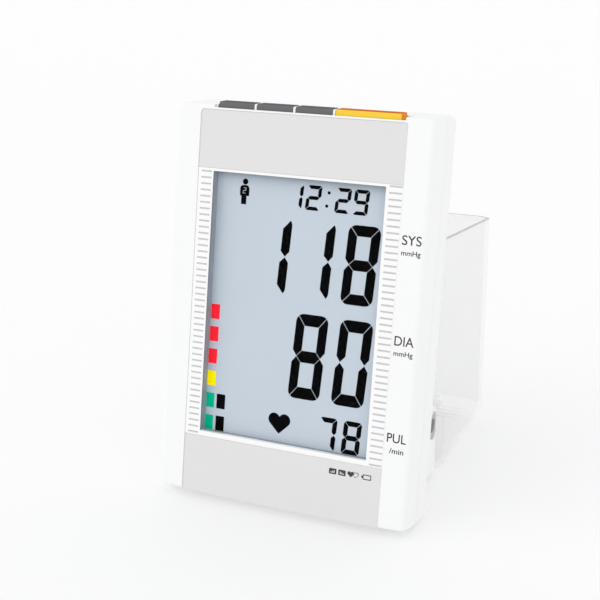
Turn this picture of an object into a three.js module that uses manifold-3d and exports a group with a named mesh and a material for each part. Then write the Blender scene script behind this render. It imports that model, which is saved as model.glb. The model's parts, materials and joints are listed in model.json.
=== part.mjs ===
// Upper arm blood pressure monitor: a leaning display slab on a base block, with a clear cuff bin behind it.
// Millimetres, +Z up, front towards -Y. The group's origin is the middle of its footprint on the table.
import * as THREE from "three";
import { mergeVertices } from "three/addons/utils/BufferGeometryUtils.js";
import Module from "manifold-3d";

const wasm = await Module();
wasm.setup();

// ---- Driving dimensions -------------------------------------------------------------------------
const LEAN = THREE.MathUtils.degToRad(8.8);   // the slab leans back
const TOTAL_DEPTH = 150;                      // front bottom edge of the slab to the back of the bin
const FRONT_LIFT = 4.9;                       // height of the slab's front bottom edge over the table

// Slab, in its own leaning frame: x across, y into the slab, z up along its face.
const SLAB_HALF = 58.1;
const SLAB_HEIGHT = 168;
const SLAB_DEPTH = 29;
const WALL = 2.2;
const TOP_RISE = 2.2;                         // the top surface rises this much from front to back
const BOTTOM_BOW = 0.8;                       // the bottom edge hangs lower in the middle
const BOTTOM_BELLY = 1.2;                     // and the bottom surface lower still halfway to the back
const FRONT_ROUND = 2.5;                      // radii of the upright edges, seen from above
const BACK_ROUND = 5;
const TOP_CORNER = 3;                         // radii of the face's own corners
const BOTTOM_CORNER = 1.6;
const SPLIT = 14;                             // front bezel in front of it, rear housing behind it
const GAP = 0.3;                              // clearance between pieces that rest on each other

// Face: two grey fascia strips with the display frame between them, sunk between the side rails.
const PANEL_HALF = 46.4;
const PANEL_TOP = 166;
const FASCIA_FRONT = 0.8;
const FASCIA_THICK = 1.6;
const BEZEL_FLOOR = [2.7, 4.5];
const FRAME_Z = [24.7, 141.4];
const WINDOW_HALF = 39;
const WINDOW_Z = [27, 140.2];
const LENS_Y = [2.5, 4.2];
const LCD_Y = [4.8, 7];
const BACKLIGHT_Y = [7.3, 10.3];
const PCB_Y = [11.5, 13.1];

// Buttons along the front of the top edge.
const BUTTON_Y = [2.9, 9.4];
const BUTTON_START = -39.5;
const BUTTON_WIDTH = 16.6;
const START_WIDTH = 28.6;
const BUTTON_PITCH = BUTTON_WIDTH + 1.2;
const LIP_TOP = 166.8;
const BUTTON_FACE_TOP = 169.1;
const BUTTON_TOP = 170.1;
const BUTTON_FOOT = 163.4;

// Battery box across the top of the back.
const TRAY_Z = [121.2, 156];
const DOOR_HALF = 50.7;
const DOOR_Z = [123.1, 154.3];
const DOOR_THICK = 2;
const CELL_RADIUS = 7.1;
const CELL_LENGTH = 50.3;
const CELL_Y = 19.2;
const CELL_ROWS = [130.5, 146.2];

// Base block behind the slab's foot, standing straight.
const BLOCK_HALF = 48;
const BLOCK_BACK = 70.5;
const BLOCK_Z = [1.5, 36];
const SOCKET = { y: 64.6, z: 26, width: 8.4, height: 13.2, hole: 3.3 };

// Cuff bin.
const BIN_BACK_HALF = 47.1;
const BIN_TAPER = Math.tan(THREE.MathUtils.degToRad(2.81));
const BIN_CORNER = 9.6;
const BIN_WALL = 2;
const BIN_FLOOR_Z = 1.5;
const BIN_FLOOR_ROUND = 6;
const BIN_RIM_BACK = 104.3;
const BIN_RIM_SLOPE = THREE.MathUtils.degToRad(5.9);
const RIB_START = 128.3;                        // low ribs across the bin's floor
const RIB_PITCH = 4.4;
const RIB_WIDTH = 1.4;
const RIB_HEIGHT = 0.6;
const HOOK_X = 32;
const HOOK_Z = [92.4, 95.4];
const HOOK_LIP = 5;                           // how far each hook reaches down behind the slab's back wall
const HOOK_LIFT = 6;                          // room over each hook, to lift the bin off
const FAR = 400;                              // longer than anything here, for cutting tools

// ---- Materials ----------------------------------------------------------------------------------
const plastic = (color, roughness = 0.45, metalness = 0) =>
  new THREE.MeshStandardMaterial({ color, roughness, metalness });
const clear = (color, opacity) =>
  new THREE.MeshStandardMaterial({ color, roughness: 0.08, metalness: 0, transparent: true, opacity });
const metal = (color, roughness = 0.3) => plastic(color, roughness, 1);

// ---- Geometry helpers ---------------------------------------------------------------------------
function solid(geometry) {
  const bare = geometry.clone();
  bare.deleteAttribute("normal");
  bare.deleteAttribute("uv");
  const merged = mergeVertices(bare, 1e-4);
  return new wasm.Manifold(new wasm.Mesh({
    numProp: 3,
    vertProperties: Float32Array.from(merged.attributes.position.array),
    triVerts: Uint32Array.from(merged.index.array),
  }));
}

function geometryOf(manifold) {
  const mesh = manifold.getMesh();
  const geometry = new THREE.BufferGeometry();
  geometry.setAttribute("position", new THREE.BufferAttribute(mesh.vertProperties, 3));
  geometry.setIndex(new THREE.BufferAttribute(mesh.triVerts, 1));
  return geometry;
}

function box(x, y, z) {
  const geometry = new THREE.BoxGeometry(x[1] - x[0], y[1] - y[0], z[1] - z[0]);
  return geometry.translate((x[0] + x[1]) / 2, (y[0] + y[1]) / 2, (z[0] + z[1]) / 2);
}

// A rectangle from (x0, y0) to (x1, y1) with one radius for each corner, from the lower left round.
function roundedShape(x, y, radii) {
  const [a, b, c, d] = radii;
  const shape = new THREE.Shape();
  shape.moveTo(x[0] + a, y[0]);
  shape.lineTo(x[1] - b, y[0]);
  shape.absarc(x[1] - b, y[0] + b, b, -Math.PI / 2, 0);
  shape.lineTo(x[1], y[1] - c);
  shape.absarc(x[1] - c, y[1] - c, c, 0, Math.PI / 2);
  shape.lineTo(x[0] + d, y[1]);
  shape.absarc(x[0] + d, y[1] - d, d, Math.PI / 2, Math.PI);
  shape.lineTo(x[0], y[0] + a);
  shape.absarc(x[0] + a, y[0] + a, a, Math.PI, 1.5 * Math.PI);
  return shape;
}

const extrude = (shape, depth, curveSegments) =>
  new THREE.ExtrudeGeometry(shape, { depth, bevelEnabled: false, curveSegments });

// A shape in (x, y) raised from z0 to z1.
const extrudeZ = (shape, z, segments = 5) => extrude(shape, z[1] - z[0], segments).translate(0, 0, z[0]);

// A shape in (x, z) pushed from y0 to y1.
const extrudeY = (shape, y, segments = 5) =>
  extrude(shape, y[1] - y[0], segments).rotateX(Math.PI / 2).translate(0, y[1], 0);

// A shape in (y, z) pushed from x0 to x1.
function extrudeX(shape, x, segments = 5) {
  const turn = new THREE.Matrix4().makeBasis(
    new THREE.Vector3(0, 1, 0), new THREE.Vector3(0, 0, 1), new THREE.Vector3(1, 0, 0));
  return extrude(shape, x[1] - x[0], segments).applyMatrix4(turn).translate(x[0], 0, 0);
}

function rod(axis, radius, from, to, center, segments = 20) {
  const geometry = new THREE.CylinderGeometry(radius, radius, to - from, segments);
  const middle = (from + to) / 2;
  if (axis === "x") return geometry.rotateZ(-Math.PI / 2).translate(middle, center[0], center[1]);
  if (axis === "z") return geometry.rotateX(Math.PI / 2).translate(center[0], center[1], middle);
  return geometry.translate(center[0], middle, center[1]);
}

// A closed form through rings of equally many points, each ring convex and capped flat at both ends.
// The first ring runs anticlockwise as seen from outside its own end.
function loft(rings) {
  const count = rings[0].length;
  const index = [];
  for (let ring = 0; ring + 1 < rings.length; ring += 1) {
    for (let i = 0; i < count; i += 1) {
      const j = (i + 1) % count;
      const near = ring * count;
      const far = near + count;
      index.push(near + i, far + j, near + j, near + i, far + i, far + j);
    }
  }
  const last = (rings.length - 1) * count;
  for (let k = 1; k + 1 < count; k += 1) {
    index.push(0, k, k + 1, last, last + k + 1, last + k);
  }
  const geometry = new THREE.BufferGeometry();
  geometry.setAttribute("position", new THREE.Float32BufferAttribute(rings.flat(2), 3));
  geometry.setIndex(index);
  return geometry;
}

// The points round a shape, without any that repeats its neighbour: each ring of a loft needs as many.
function ringPoints(shape, divisions) {
  const points = shape.getPoints(divisions);
  return points.filter((point, i) => point.distanceTo(points[(i + 1) % points.length]) > 1e-6);
}

// How far an edge of this radius draws in at a distance from the face it rounds into.
function drawnIn(distance, radius) {
  if (distance >= radius) return 0;
  return radius - Math.sqrt(radius ** 2 - (radius - distance) ** 2);
}

// The slab's frame, as a matrix in the frame of the table.
const slabFrame = new THREE.Matrix4()
  .makeRotationX(-LEAN)
  .setPosition(0, 0, FRONT_LIFT);
const leaned = (geometry) => geometry.applyMatrix4(slabFrame);

function join(base, ...others) {
  return others.reduce((sum, geometry) => sum.add(solid(geometry)), base);
}

function cut(base, ...tools) {
  return tools.reduce((rest, geometry) => rest.subtract(solid(geometry)), base);
}

// ---- Slab shells --------------------------------------------------------------------------------
// The slab's outer form, shrunk on every side, as outlines from the face to the back.
function slabForm(inset) {
  const front = Math.max(FRONT_ROUND - inset, 0.5);
  const back = BACK_ROUND - inset;
  const depth = SLAB_DEPTH - 2 * inset;
  const turn = [0, 0.1, 0.35, 1];
  const behind = turn.map((t) => depth - t * back).reverse();
  const levels = [...turn.map((t) => t * front), 8, SPLIT, 20, ...behind];
  return solid(loft(levels.map((level) => slabOutline(level, depth - level, inset, front, back))));
}

// The outline at one depth, given as its distances from the face and from the back of the shrunk form.
function slabOutline(fromFace, fromBack, inset, front, back) {
  const y = fromFace + inset;
  const half = SLAB_HALF - inset - drawnIn(fromFace, front) - drawnIn(fromBack, back);
  const middle = SLAB_DEPTH * 0.45;
  const belly = BOTTOM_BELLY * (1 - ((y - middle) / middle) ** 2);
  const bottom = inset - belly + drawnIn(fromFace, 0.8) + drawnIn(fromBack, back);
  const top = SLAB_HEIGHT - inset + TOP_RISE * y / SLAB_DEPTH - drawnIn(fromFace, 0.8) - drawnIn(fromBack, 2);
  return ringPoints(faceOutline(half, bottom, top), 8).map(({ x, y: z }) => [x, y, z]);
}

// The face outline: a tall rounded rectangle with a slightly bowed bottom edge.
function faceOutline(half, bottom, top) {
  const [low, high] = [BOTTOM_CORNER, TOP_CORNER];
  const shape = new THREE.Shape();
  shape.moveTo(-half, bottom + low);
  shape.quadraticCurveTo(-half, bottom, -half + low, bottom);
  shape.quadraticCurveTo(0, bottom - 2 * BOTTOM_BOW, half - low, bottom);
  shape.quadraticCurveTo(half, bottom, half, bottom + low);
  shape.lineTo(half, top - high);
  shape.absarc(half - high, top - high, high, 0, Math.PI / 2);
  shape.lineTo(-half + high, top);
  shape.absarc(-half + high, top - high, high, Math.PI / 2, Math.PI);
  return shape;
}

const slice = (y) => solid(box([-FAR, FAR], y, [-FAR, FAR]));

function buttonSpans() {
  const spans = [0, 1, 2].map((i) => {
    const start = BUTTON_START + i * BUTTON_PITCH;
    return [start, start + BUTTON_WIDTH];
  });
  const start = BUTTON_START + 3 * BUTTON_PITCH;
  return [...spans, [start, start + START_WIDTH]];
}

const CASE_SCREWS = [[-51.5, 161], [51.5, 161], [-52.3, 12], [52.3, 12]];
const BOSS = { radius: 3.2, bore: 1.4, front: 6 };
const POST = { radius: 4.3, head: 3.1, shank: 1.7, seat: 18 };

// Thin ribs between the keys, a little lower than the keys all along.
function keyRibs() {
  const side = keyProfile(LIP_TOP - 1, 0.4);
  return buttonSpans().slice(1).map(([x0]) => {
    const middle = x0 - (BUTTON_PITCH - BUTTON_WIDTH) / 2;
    const half = (BUTTON_PITCH - BUTTON_WIDTH) / 2 - GAP;
    return extrudeX(side, [middle - half, middle + half]);
  });
}

function frontBezel() {
  const shell = slabForm(0).intersect(slice([-1, SPLIT]));
  const hollow = slabForm(WALL).intersect(slice([BEZEL_FLOOR[1], FAR]));
  const bosses = CASE_SCREWS.map(([x, z]) => rod("y", BOSS.radius, BEZEL_FLOOR[0], SPLIT, [x, z]));
  const bores = CASE_SCREWS.map(([x, z]) => rod("y", BOSS.bore, BOSS.front, FAR, [x, z], 12));
  const slots = buttonSpans().map(([x0, x1]) =>
    box([x0 - GAP, x1 + GAP], [BUTTON_Y[0] - GAP, BUTTON_Y[1] + GAP], [161.5, FAR]));
  const buttonsEnd = BUTTON_START + 3 * BUTTON_PITCH + START_WIDTH;
  const lipRelief = box([BUTTON_START - 0.8, buttonsEnd + 0.8], [-1, BUTTON_Y[0]], [LIP_TOP, FAR]);
  const panel = box([-PANEL_HALF - 0.1, PANEL_HALF + 0.1], [-1, BEZEL_FLOOR[0]], [-FAR, PANEL_TOP]);
  const window = box([-43, 43], [0, BEZEL_FLOOR[1] + 1], [22.6, 143.4]);
  const body = join(shell.subtract(hollow), ...bosses);
  return geometryOf(join(cut(body, ...bores, ...slots, lipRelief, panel, window), ...keyRibs()));
}

// The block's outer form: a rounded side profile and rounded back corners, shrunk on every side.
function blockForm(inset) {
  const half = BLOCK_HALF - inset;
  const y = [26, BLOCK_BACK - inset];
  const z = [BLOCK_Z[0] + inset, BLOCK_Z[1] - inset];
  const side = roundedShape(y, z, [0.1, 2.5 - inset / 2, 6 - inset, 0.1]);
  const plan = roundedShape([-half, half], y, [0.1, 0.1, 3.5 - inset, 3.5 - inset]);
  return solid(extrudeX(side, [-half, half])).intersect(solid(extrudeZ(plan, z)));
}

function socketShape(width, height) {
  const { y, z } = SOCKET;
  const r = width / 2;
  return roundedShape([y - r, y + r], [z - height / 2, z + height / 2], [r, r, r, r]);
}

const DC_JACK = { y: 60, z: 24, hole: 4.6 };

function rearHousing() {
  const shell = slabForm(0).subtract(slabForm(WALL)).intersect(slice([SPLIT + GAP, FAR]));
  const posts = CASE_SCREWS.map(([x, z]) => rod("y", POST.radius, SPLIT + GAP, SLAB_DEPTH - 0.6, [x, z]));
  const heads = CASE_SCREWS.map(([x, z]) => rod("y", POST.head, POST.seat, FAR, [x, z]));
  const shanks = CASE_SCREWS.map(([x, z]) => rod("y", POST.shank, 0, FAR, [x, z], 12));
  const doorway = extrudeY(
    roundedShape([-DOOR_HALF - GAP, DOOR_HALF + GAP], [DOOR_Z[0] - GAP, DOOR_Z[1] + GAP], [2, 2, 2, 2]),
    [SLAB_DEPTH - WALL - 1, FAR], 3);
  const notch = rod("y", 6, SLAB_DEPTH - 1.2, FAR, [0, DOOR_Z[1] + 1]);
  const hookSlots = [-HOOK_X, HOOK_X].map((x) =>
    box([x - 6, x + 6], [SLAB_DEPTH - WALL - 1, FAR], [HOOK_Z[0] - 0.6, HOOK_Z[1] + HOOK_LIFT]));
  const slab = cut(join(shell, ...posts), ...heads, ...shanks, doorway, notch, ...hookSlots)
    .transform(slabFrame.elements);
  const socketHole = extrudeX(socketShape(SOCKET.width, SOCKET.height), [33.5, 60], 8);
  const jackHole = rod("x", DC_JACK.hole, -60, -40, [DC_JACK.y, DC_JACK.z]);
  const slabRoom = solid(leaned(box([-FAR, FAR], [0, SLAB_DEPTH - 1], [-FAR, FAR])));
  const body = slab.add(blockForm(0).subtract(slabRoom));
  return geometryOf(cut(body.subtract(blockForm(WALL)), socketHole, jackHole));
}

// ---- Face pieces --------------------------------------------------------------------------------
const fasciaSpan = [FASCIA_FRONT, FASCIA_FRONT + FASCIA_THICK];

function fascia(z, topRadius) {
  const shape = roundedShape([-PANEL_HALF + 0.2, PANEL_HALF - 0.2], z, [0.2, 0.2, topRadius, topRadius]);
  return extrudeY(shape, fasciaSpan, 4);
}

function lowerFascia() {
  const strip = solid(fascia([-1, FRAME_Z[0] - 0.2], 0.2));
  return geometryOf(strip.intersect(solid(extrudeY(faceOutline(SLAB_HALF, 0.2, SLAB_HEIGHT), [-1, 5]))));
}

function displayFrame() {
  const plate = roundedShape([-PANEL_HALF + 0.2, PANEL_HALF - 0.2], FRAME_Z, [0.3, 0.3, 0.3, 0.3]);
  plate.holes.push(roundedShape([-WINDOW_HALF, WINDOW_HALF], WINDOW_Z, [0.3, 0.3, 0.3, 0.3]));
  return extrudeY(plate, [FASCIA_FRONT - 0.1, FASCIA_FRONT + FASCIA_THICK - 0.1], 2);
}

function lcdHolder() {
  const ring = roundedShape([-47.4, 47.4], [17, 147.8], [2, 2, 2, 2]);
  ring.holes.push(roundedShape([-45.2, 45.2], [20, 145.8], [1, 1, 1, 1]));
  return extrudeY(ring, [LCD_Y[0], BACKLIGHT_Y[1] + 0.4], 3);
}

function mainPcb() {
  const board = roundedShape([-46, 46], [20, 116], [2, 2, 2, 2]);
  return extrudeY(board, PCB_Y, 3);
}

const ON_PCB = PCB_Y[1] + GAP;                // components stand on the back of the board
const SENSOR = { x: 24, z: 26 };

function pressureSensor() {
  const { x, z } = SENSOR;
  const body = solid(box([x - 5, x + 5], [ON_PCB, ON_PCB + 4], [z - 4, z + 4]));
  return geometryOf(join(body, rod("y", 1.5, ON_PCB + 3, ON_PCB + 7, [x, z], 12)));
}

// ---- Buttons and their switches -----------------------------------------------------------------
// A key with a standing front face, a top that rises towards the back, and a flange under the housing's top.
function keyProfile(foot, lower) {
  const [front, back] = BUTTON_Y;
  const side = new THREE.Shape();
  side.moveTo(front, foot);
  side.lineTo(back, foot);
  side.lineTo(back, BUTTON_TOP - 0.3 - lower);
  side.lineTo(back - 0.5, BUTTON_TOP - lower);
  side.lineTo(back - 2, BUTTON_TOP - 0.1 - lower);
  side.lineTo(front + 0.9, BUTTON_FACE_TOP + 0.5 - lower);
  side.lineTo(front + 0.2, BUTTON_FACE_TOP - 0.1 - lower);
  side.lineTo(front, BUTTON_FACE_TOP - 0.8 - lower);
  return side;
}

function button([x0, x1]) {
  const side = keyProfile(BUTTON_FOOT + 2, 0);
  const under = [BUTTON_FOOT, BUTTON_FOOT + 2];
  const flange = box([x0 - 0.4, x1 + 0.4], [BEZEL_FLOOR[1] + GAP, BUTTON_Y[1] + 0.9], under);
  return geometryOf(join(solid(extrudeX(side, [x0, x1])), flange));
}

const SWITCH_Y = (BUTTON_Y[0] + BUTTON_Y[1]) / 2 + 2.6;
const SWITCH_Z = [158.4, 161.4];

function tactSwitch([x0, x1]) {
  const x = (x0 + x1) / 2;
  const can = solid(box([x - 3, x + 3], [SWITCH_Y - 3, SWITCH_Y + 3], SWITCH_Z));
  const plunger = rod("z", 1.7, SWITCH_Z[1] - 1, SWITCH_Z[1] + 0.8, [x, SWITCH_Y], 12);
  return geometryOf(join(can, plunger));
}

// ---- Battery box --------------------------------------------------------------------------------
function batteryTray() {
  const outer = solid(box([-55.4, 55.4], [11, 26.5], TRAY_Z));
  const inner = box([-54.4, 54.4], [11.8, FAR], [TRAY_Z[0] + 1.2, TRAY_Z[1] - 1.2]);
  return geometryOf(cut(outer.intersect(slabForm(WALL + GAP)), inner));
}

function batteryDoor() {
  const panel = roundedShape([-DOOR_HALF, DOOR_HALF], DOOR_Z, [1.7, 1.7, 1.7, 1.7]);
  const fingerRib = box([-8, 8], [SLAB_DEPTH - 0.1, SLAB_DEPTH + 0.5], [148, 149]);
  return geometryOf(join(solid(extrudeY(panel, [SLAB_DEPTH - DOOR_THICK, SLAB_DEPTH], 3)), fingerRib));
}

const cellX = (column) => (column ? [0.2, 0.2 + CELL_LENGTH] : [-0.2 - CELL_LENGTH, -0.2]);

function batteryCell(row, column, facing) {
  const [x0, x1] = cellX(column);
  const center = [CELL_Y, CELL_ROWS[row]];
  const nub = 1.2;
  const can = facing > 0 ? [x0, x1 - nub] : [x0 + nub, x1];
  const cap = facing > 0 ? [x1 - nub - 1, x1] : [x0, x0 + nub + 1];
  const body = solid(rod("x", CELL_RADIUS, ...can, center, 28));
  return geometryOf(join(body, rod("x", 2.7, ...cap, center, 16)));
}

// A conical spring of round wire that presses on the flat end of a cell.
function batterySpring(row, side) {
  const turns = 3;
  const length = 2.3;
  const start = CELL_LENGTH + 0.2 + GAP + 0.25;
  class Cone extends THREE.Curve {
    getPoint(t) {
      const angle = 2 * Math.PI * turns * t;
      const radius = 2.6 + 2.4 * t;
      const x = side * (start + length * t);
      const z = CELL_ROWS[row] + radius * Math.sin(angle);
      return new THREE.Vector3(x, CELL_Y + radius * Math.cos(angle), z);
    }
  }
  const wire = new THREE.Shape().absarc(0, 0, 0.25, 0, 2 * Math.PI);
  return new THREE.ExtrudeGeometry(wire, { steps: turns * 14, curveSegments: 3, extrudePath: new Cone() });
}

function contactPlate(side) {
  const x = [side * 53.7, side * 54.1].sort((a, b) => a - b);
  return box(x, [13, 24.4], [TRAY_Z[0] + 2, TRAY_Z[1] - 2]);
}

// ---- Air system in the block --------------------------------------------------------------------
const PUMP = { y: 48, z: 18.6, motor: [-36, -9], head: [-8.6, 13] };
const SHAFT = { radius: 1.2, bore: 1.27, sides: 32 };

function pumpMotor() {
  const center = [PUMP.y, PUMP.z];
  const can = solid(rod("x", 12, ...PUMP.motor, center, 32));
  const bearing = rod("x", 3.5, PUMP.motor[0] - 1.6, PUMP.motor[0] + 1, center, 20);
  const bore = rod("x", SHAFT.bore, PUMP.motor[1] - 8, FAR, center, SHAFT.sides);
  return geometryOf(cut(join(can, bearing), bore));
}

function pumpHead() {
  const [x0, x1] = PUMP.head;
  const center = [PUMP.y, PUMP.z];
  const shell = solid(rod("x", 13.4, x0, x1, center, 36));
  const nipple = rod("x", 1.9, x1 - 1, x1 + 3, center, 16);
  const room = rod("x", 11.4, x0 - 1, x1 - 3, center, 36);
  return geometryOf(cut(join(shell, nipple), room, rod("x", 1, x0, FAR, center, 12)));
}

function motorShaft() {
  const span = [PUMP.motor[1] - 7.4, PUMP.motor[1] + 7];
  return rod("x", SHAFT.radius, ...span, [PUMP.y, PUMP.z], SHAFT.sides);
}

function pumpEccentric() {
  const x = PUMP.motor[1] + 1.6;
  const wheel = solid(rod("x", 6.5, x, x + 5, [PUMP.y, PUMP.z], 28));
  const pin = rod("x", 1.6, x + 4, x + 10, [PUMP.y + 3.4, PUMP.z], 14);
  return geometryOf(cut(join(wheel, pin), rod("x", SHAFT.bore, x - 1, x + 7, [PUMP.y, PUMP.z], SHAFT.sides)));
}

const PORT_Z = 10.4;                           // the valve's and the manifold's side ports are level
const VALVE = { x: 29, y: 36, half: 6.5, z: [6, 22], bore: 3 };

function valveBody() {
  const { x, y, half, z, bore } = VALVE;
  const body = solid(box([x - half, x + half], [y - half, y + half], z));
  const port = rod("y", 1.8, y + half - 1, y + half + 3.6, [x, PORT_Z], 12);
  return geometryOf(cut(join(body, port), rod("z", bore, z[0] + 6, FAR, [x, y], 24)));
}

function valvePlunger() {
  const { x, y, z, bore } = VALVE;
  const stem = solid(rod("z", bore - 0.35, z[0] + 8, z[1] + 2.6, [x, y], 24));
  return geometryOf(join(stem, rod("z", 4.4, z[1] + 1.6, z[1] + 3.2, [x, y], 24)));
}

const MANIFOLD = { x: [25, 40], y: [54.5, 62.5], z: [6.4, 14.4], port: 3, socketX: 27.2, sensorX: 32.6 };

function airManifold() {
  const { x, y, z, port, socketX, sensorX } = MANIFOLD;
  const middle = (y[0] + y[1]) / 2;
  const body = solid(box(x, y, z));
  const pumpSide = rod("x", 1.8, x[0] - port, x[0] + 1, [middle, PORT_Z], 12);
  const valveSide = rod("y", 1.8, y[0] - port, y[0] + 1, [VALVE.x, PORT_Z], 12);
  const socketSide = rod("z", 1.8, z[1] - 1, z[1] + port, [socketX, middle], 12);
  const sensorSide = rod("z", 1.8, z[1] - 1, z[1] + port, [sensorX, middle], 12);
  return geometryOf(join(body, pumpSide, valveSide, socketSide, sensorSide));
}

function tube(points, steps) {
  const path = new THREE.CatmullRomCurve3(points.map((p) => new THREE.Vector3(...p)), false, "centripetal");
  const section = new THREE.Shape().absarc(0, 0, 1.9, 0, 2 * Math.PI);
  return new THREE.ExtrudeGeometry(section, { steps, curveSegments: 4, extrudePath: path });
}

function airSocket() {
  const { y, z, width, height, hole } = SOCKET;
  const face = solid(extrudeX(socketShape(width - 2 * GAP, height - 2 * GAP), [34, BLOCK_HALF - 0.7], 8));
  const nipple = rod("x", 1.9, 30, 35, [y, z], 12);
  return geometryOf(cut(join(face, nipple), rod("x", hole, BLOCK_HALF - 10, FAR, [y, z], 24)));
}

function dcJack() {
  const { y, z } = DC_JACK;
  const body = solid(box([-44.5, -38.4], [y - 5.5, y + 5.5], [z - 5, z + 5]));
  const collar = rod("x", 4.2, -BLOCK_HALF + 0.4, -44, [y, z], 24);
  const hollow = rod("x", 2.9, -FAR, -39.6, [y, z], 20);
  const pin = rod("x", 1, -46.4, -39, [y, z], 12);
  return geometryOf(join(cut(join(body, collar), hollow), pin));
}

// ---- Feet and fasteners -------------------------------------------------------------------------
// Each front foot is a rubber wedge whose top follows the slab's leaning bottom.
function frontFoot(side) {
  const foot = solid(rod("z", 4.2, 0, 5, [side * 40, 16.5], 24));
  return geometryOf(foot.subtract(slabForm(-GAP).transform(slabFrame.elements)));
}

const rearFoot = (side) => rod("z", 4.5, 0, BLOCK_Z[0] - GAP, [side * 38, 60], 24);

function caseScrew([x, z]) {
  const head = solid(rod("y", 2.8, POST.seat + GAP, POST.seat + 2.5, [x, z], 24));
  const shank = rod("y", 1.1, BOSS.front + 1, POST.seat + 1, [x, z], 14);
  const recess = box([x - 1.7, x + 1.7], [POST.seat + 1.6, FAR], [z - 0.35, z + 0.35]);
  const across = box([x - 0.35, x + 0.35], [POST.seat + 1.6, FAR], [z - 1.7, z + 1.7]);
  return geometryOf(cut(join(head, shank), recess, across));
}

// ---- Cuff bin -----------------------------------------------------------------------------------
// Low ribs across the back of the bin's floor.
function floorRibs() {
  const half = BIN_BACK_HALF - BIN_WALL - BIN_FLOOR_ROUND - 1;
  const floor = BIN_FLOOR_Z + BIN_WALL;
  return [0, 1, 2, 3].map((k) => {
    const y = RIB_START + RIB_PITCH * k;
    return box([-half, half], [y, y + RIB_WIDTH], [floor - 1, floor + RIB_HEIGHT]);
  });
}

// The bin's plan at one level: it narrows to the back, and its back corners are round.
function binPlan(inset, z) {
  const front = 27;
  const back = TOTAL_DEPTH - inset;
  const radius = BIN_CORNER - inset;
  const turn = back - radius;
  const halfAt = (y) => BIN_BACK_HALF + (TOTAL_DEPTH - y) * BIN_TAPER - inset;
  const plan = new THREE.Shape();
  plan.moveTo(-halfAt(front), front);
  plan.lineTo(halfAt(front), front);
  plan.lineTo(halfAt(turn), turn);
  plan.absarc(halfAt(turn) - radius, turn, radius, 0, Math.PI / 2);
  plan.lineTo(-halfAt(turn) + radius, back);
  plan.absarc(-halfAt(turn) + radius, turn, radius, Math.PI / 2, Math.PI);
  return ringPoints(plan, 6).reverse().map(({ x, y }) => [x, y, z]);
}

// The bin's form, shrunk on every side: rounded round its floor, its front along the slab's back, and
// stepped over the block.
function binForm(inset) {
  const floor = BIN_FLOOR_Z + inset;
  const radius = BIN_FLOOR_ROUND - inset;
  const rings = [0, 1, 2, 3, 4].map((k) => {
    const turn = k * Math.PI / 8;
    return binPlan(inset + radius * (1 - Math.sin(turn)), floor + radius * (1 - Math.cos(turn)));
  });
  const slab = leaned(box([-FAR, FAR], [-FAR, SLAB_DEPTH + 0.4 + inset], [-FAR, FAR]));
  const block = box([-FAR, FAR], [-FAR, BLOCK_BACK + 0.8 + inset], [-FAR, BLOCK_Z[1] + 1 + inset]);
  return cut(solid(loft([...rings, binPlan(inset, FAR)])), slab, block);
}

function binHook(x) {
  const tip = SLAB_DEPTH - WALL - 3;
  const neck = box([x - 4, x + 4], [tip, SLAB_DEPTH + BIN_WALL], HOOK_Z);
  const lip = box([x - 4, x + 4], [tip, tip + 2.5], [HOOK_Z[0] - HOOK_LIP, HOOK_Z[1]]);
  return join(solid(neck), lip).transform(slabFrame.elements);
}

function cuffBin() {
  const rim = box([-FAR, FAR], [-FAR, FAR], [0, FAR])
    .rotateX(-BIN_RIM_SLOPE).translate(0, TOTAL_DEPTH, BIN_RIM_BACK);
  const walls = binForm(0).subtract(binForm(BIN_WALL)).subtract(solid(rim));
  const hooked = walls.add(binHook(-HOOK_X)).add(binHook(HOOK_X));
  return geometryOf(join(hooked, ...floorRibs()));
}

// ---- Assembly -----------------------------------------------------------------------------------
const monitor = new THREE.Group();
const slab = new THREE.Group();
slab.position.set(0, 0, FRONT_LIFT);
slab.rotation.x = -LEAN;
monitor.add(slab);
monitor.position.y = -TOTAL_DEPTH / 2;

function place(group, name, geometry, material) {
  const mesh = new THREE.Mesh(geometry, material);
  mesh.name = name;
  group.add(mesh);
}

const white = 0xf6f7f7;
place(slab, "front_bezel", frontBezel(), plastic(white, 0.35));
place(monitor, "rear_housing", rearHousing(), plastic(white, 0.4));
place(slab, "upper_fascia", fascia([FRAME_Z[1] + 0.2, PANEL_TOP - 0.2], 2), plastic(0xd9d9da, 0.2));
place(slab, "lower_fascia", lowerFascia(), plastic(0xd9d9da, 0.2));
place(slab, "display_frame", displayFrame(), plastic(0xfcfcfc, 0.3));
place(slab, "display_lens", box([-42.6, 42.6], LENS_Y, [23, 143]), clear(0xdfe6ee, 0.25));
place(slab, "lcd_glass", box([-44.6, 44.6], LCD_Y, [20.6, 145]), plastic(0xc5cfdc, 0.15));
place(slab, "lcd_backlight", box([-42, 42], BACKLIGHT_Y, [27, 142]), plastic(0xeef2f5, 0.5));
place(slab, "lcd_holder", lcdHolder(), plastic(0xe8e8e6, 0.6));
const zebraY = [LCD_Y[1] + GAP, PCB_Y[0] - GAP];
place(slab, "zebra_strip", box([-36, 36], zebraY, [22, 24.4]), plastic(0xd27a8a, 0.8));
place(slab, "main_pcb", mainPcb(), plastic(0x1d5b38, 0.5));
place(slab, "microcontroller", box([-17, -3], [ON_PCB, ON_PCB + 1.4], [62, 76]), plastic(0x1b1b1d, 0.5));
place(slab, "pressure_sensor", pressureSensor(), plastic(0xb9bcc0, 0.4));
place(slab, "buzzer", rod("y", 6, ON_PCB, ON_PCB + 4.5, [-28, 42], 28), plastic(0x202024, 0.5));

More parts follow.
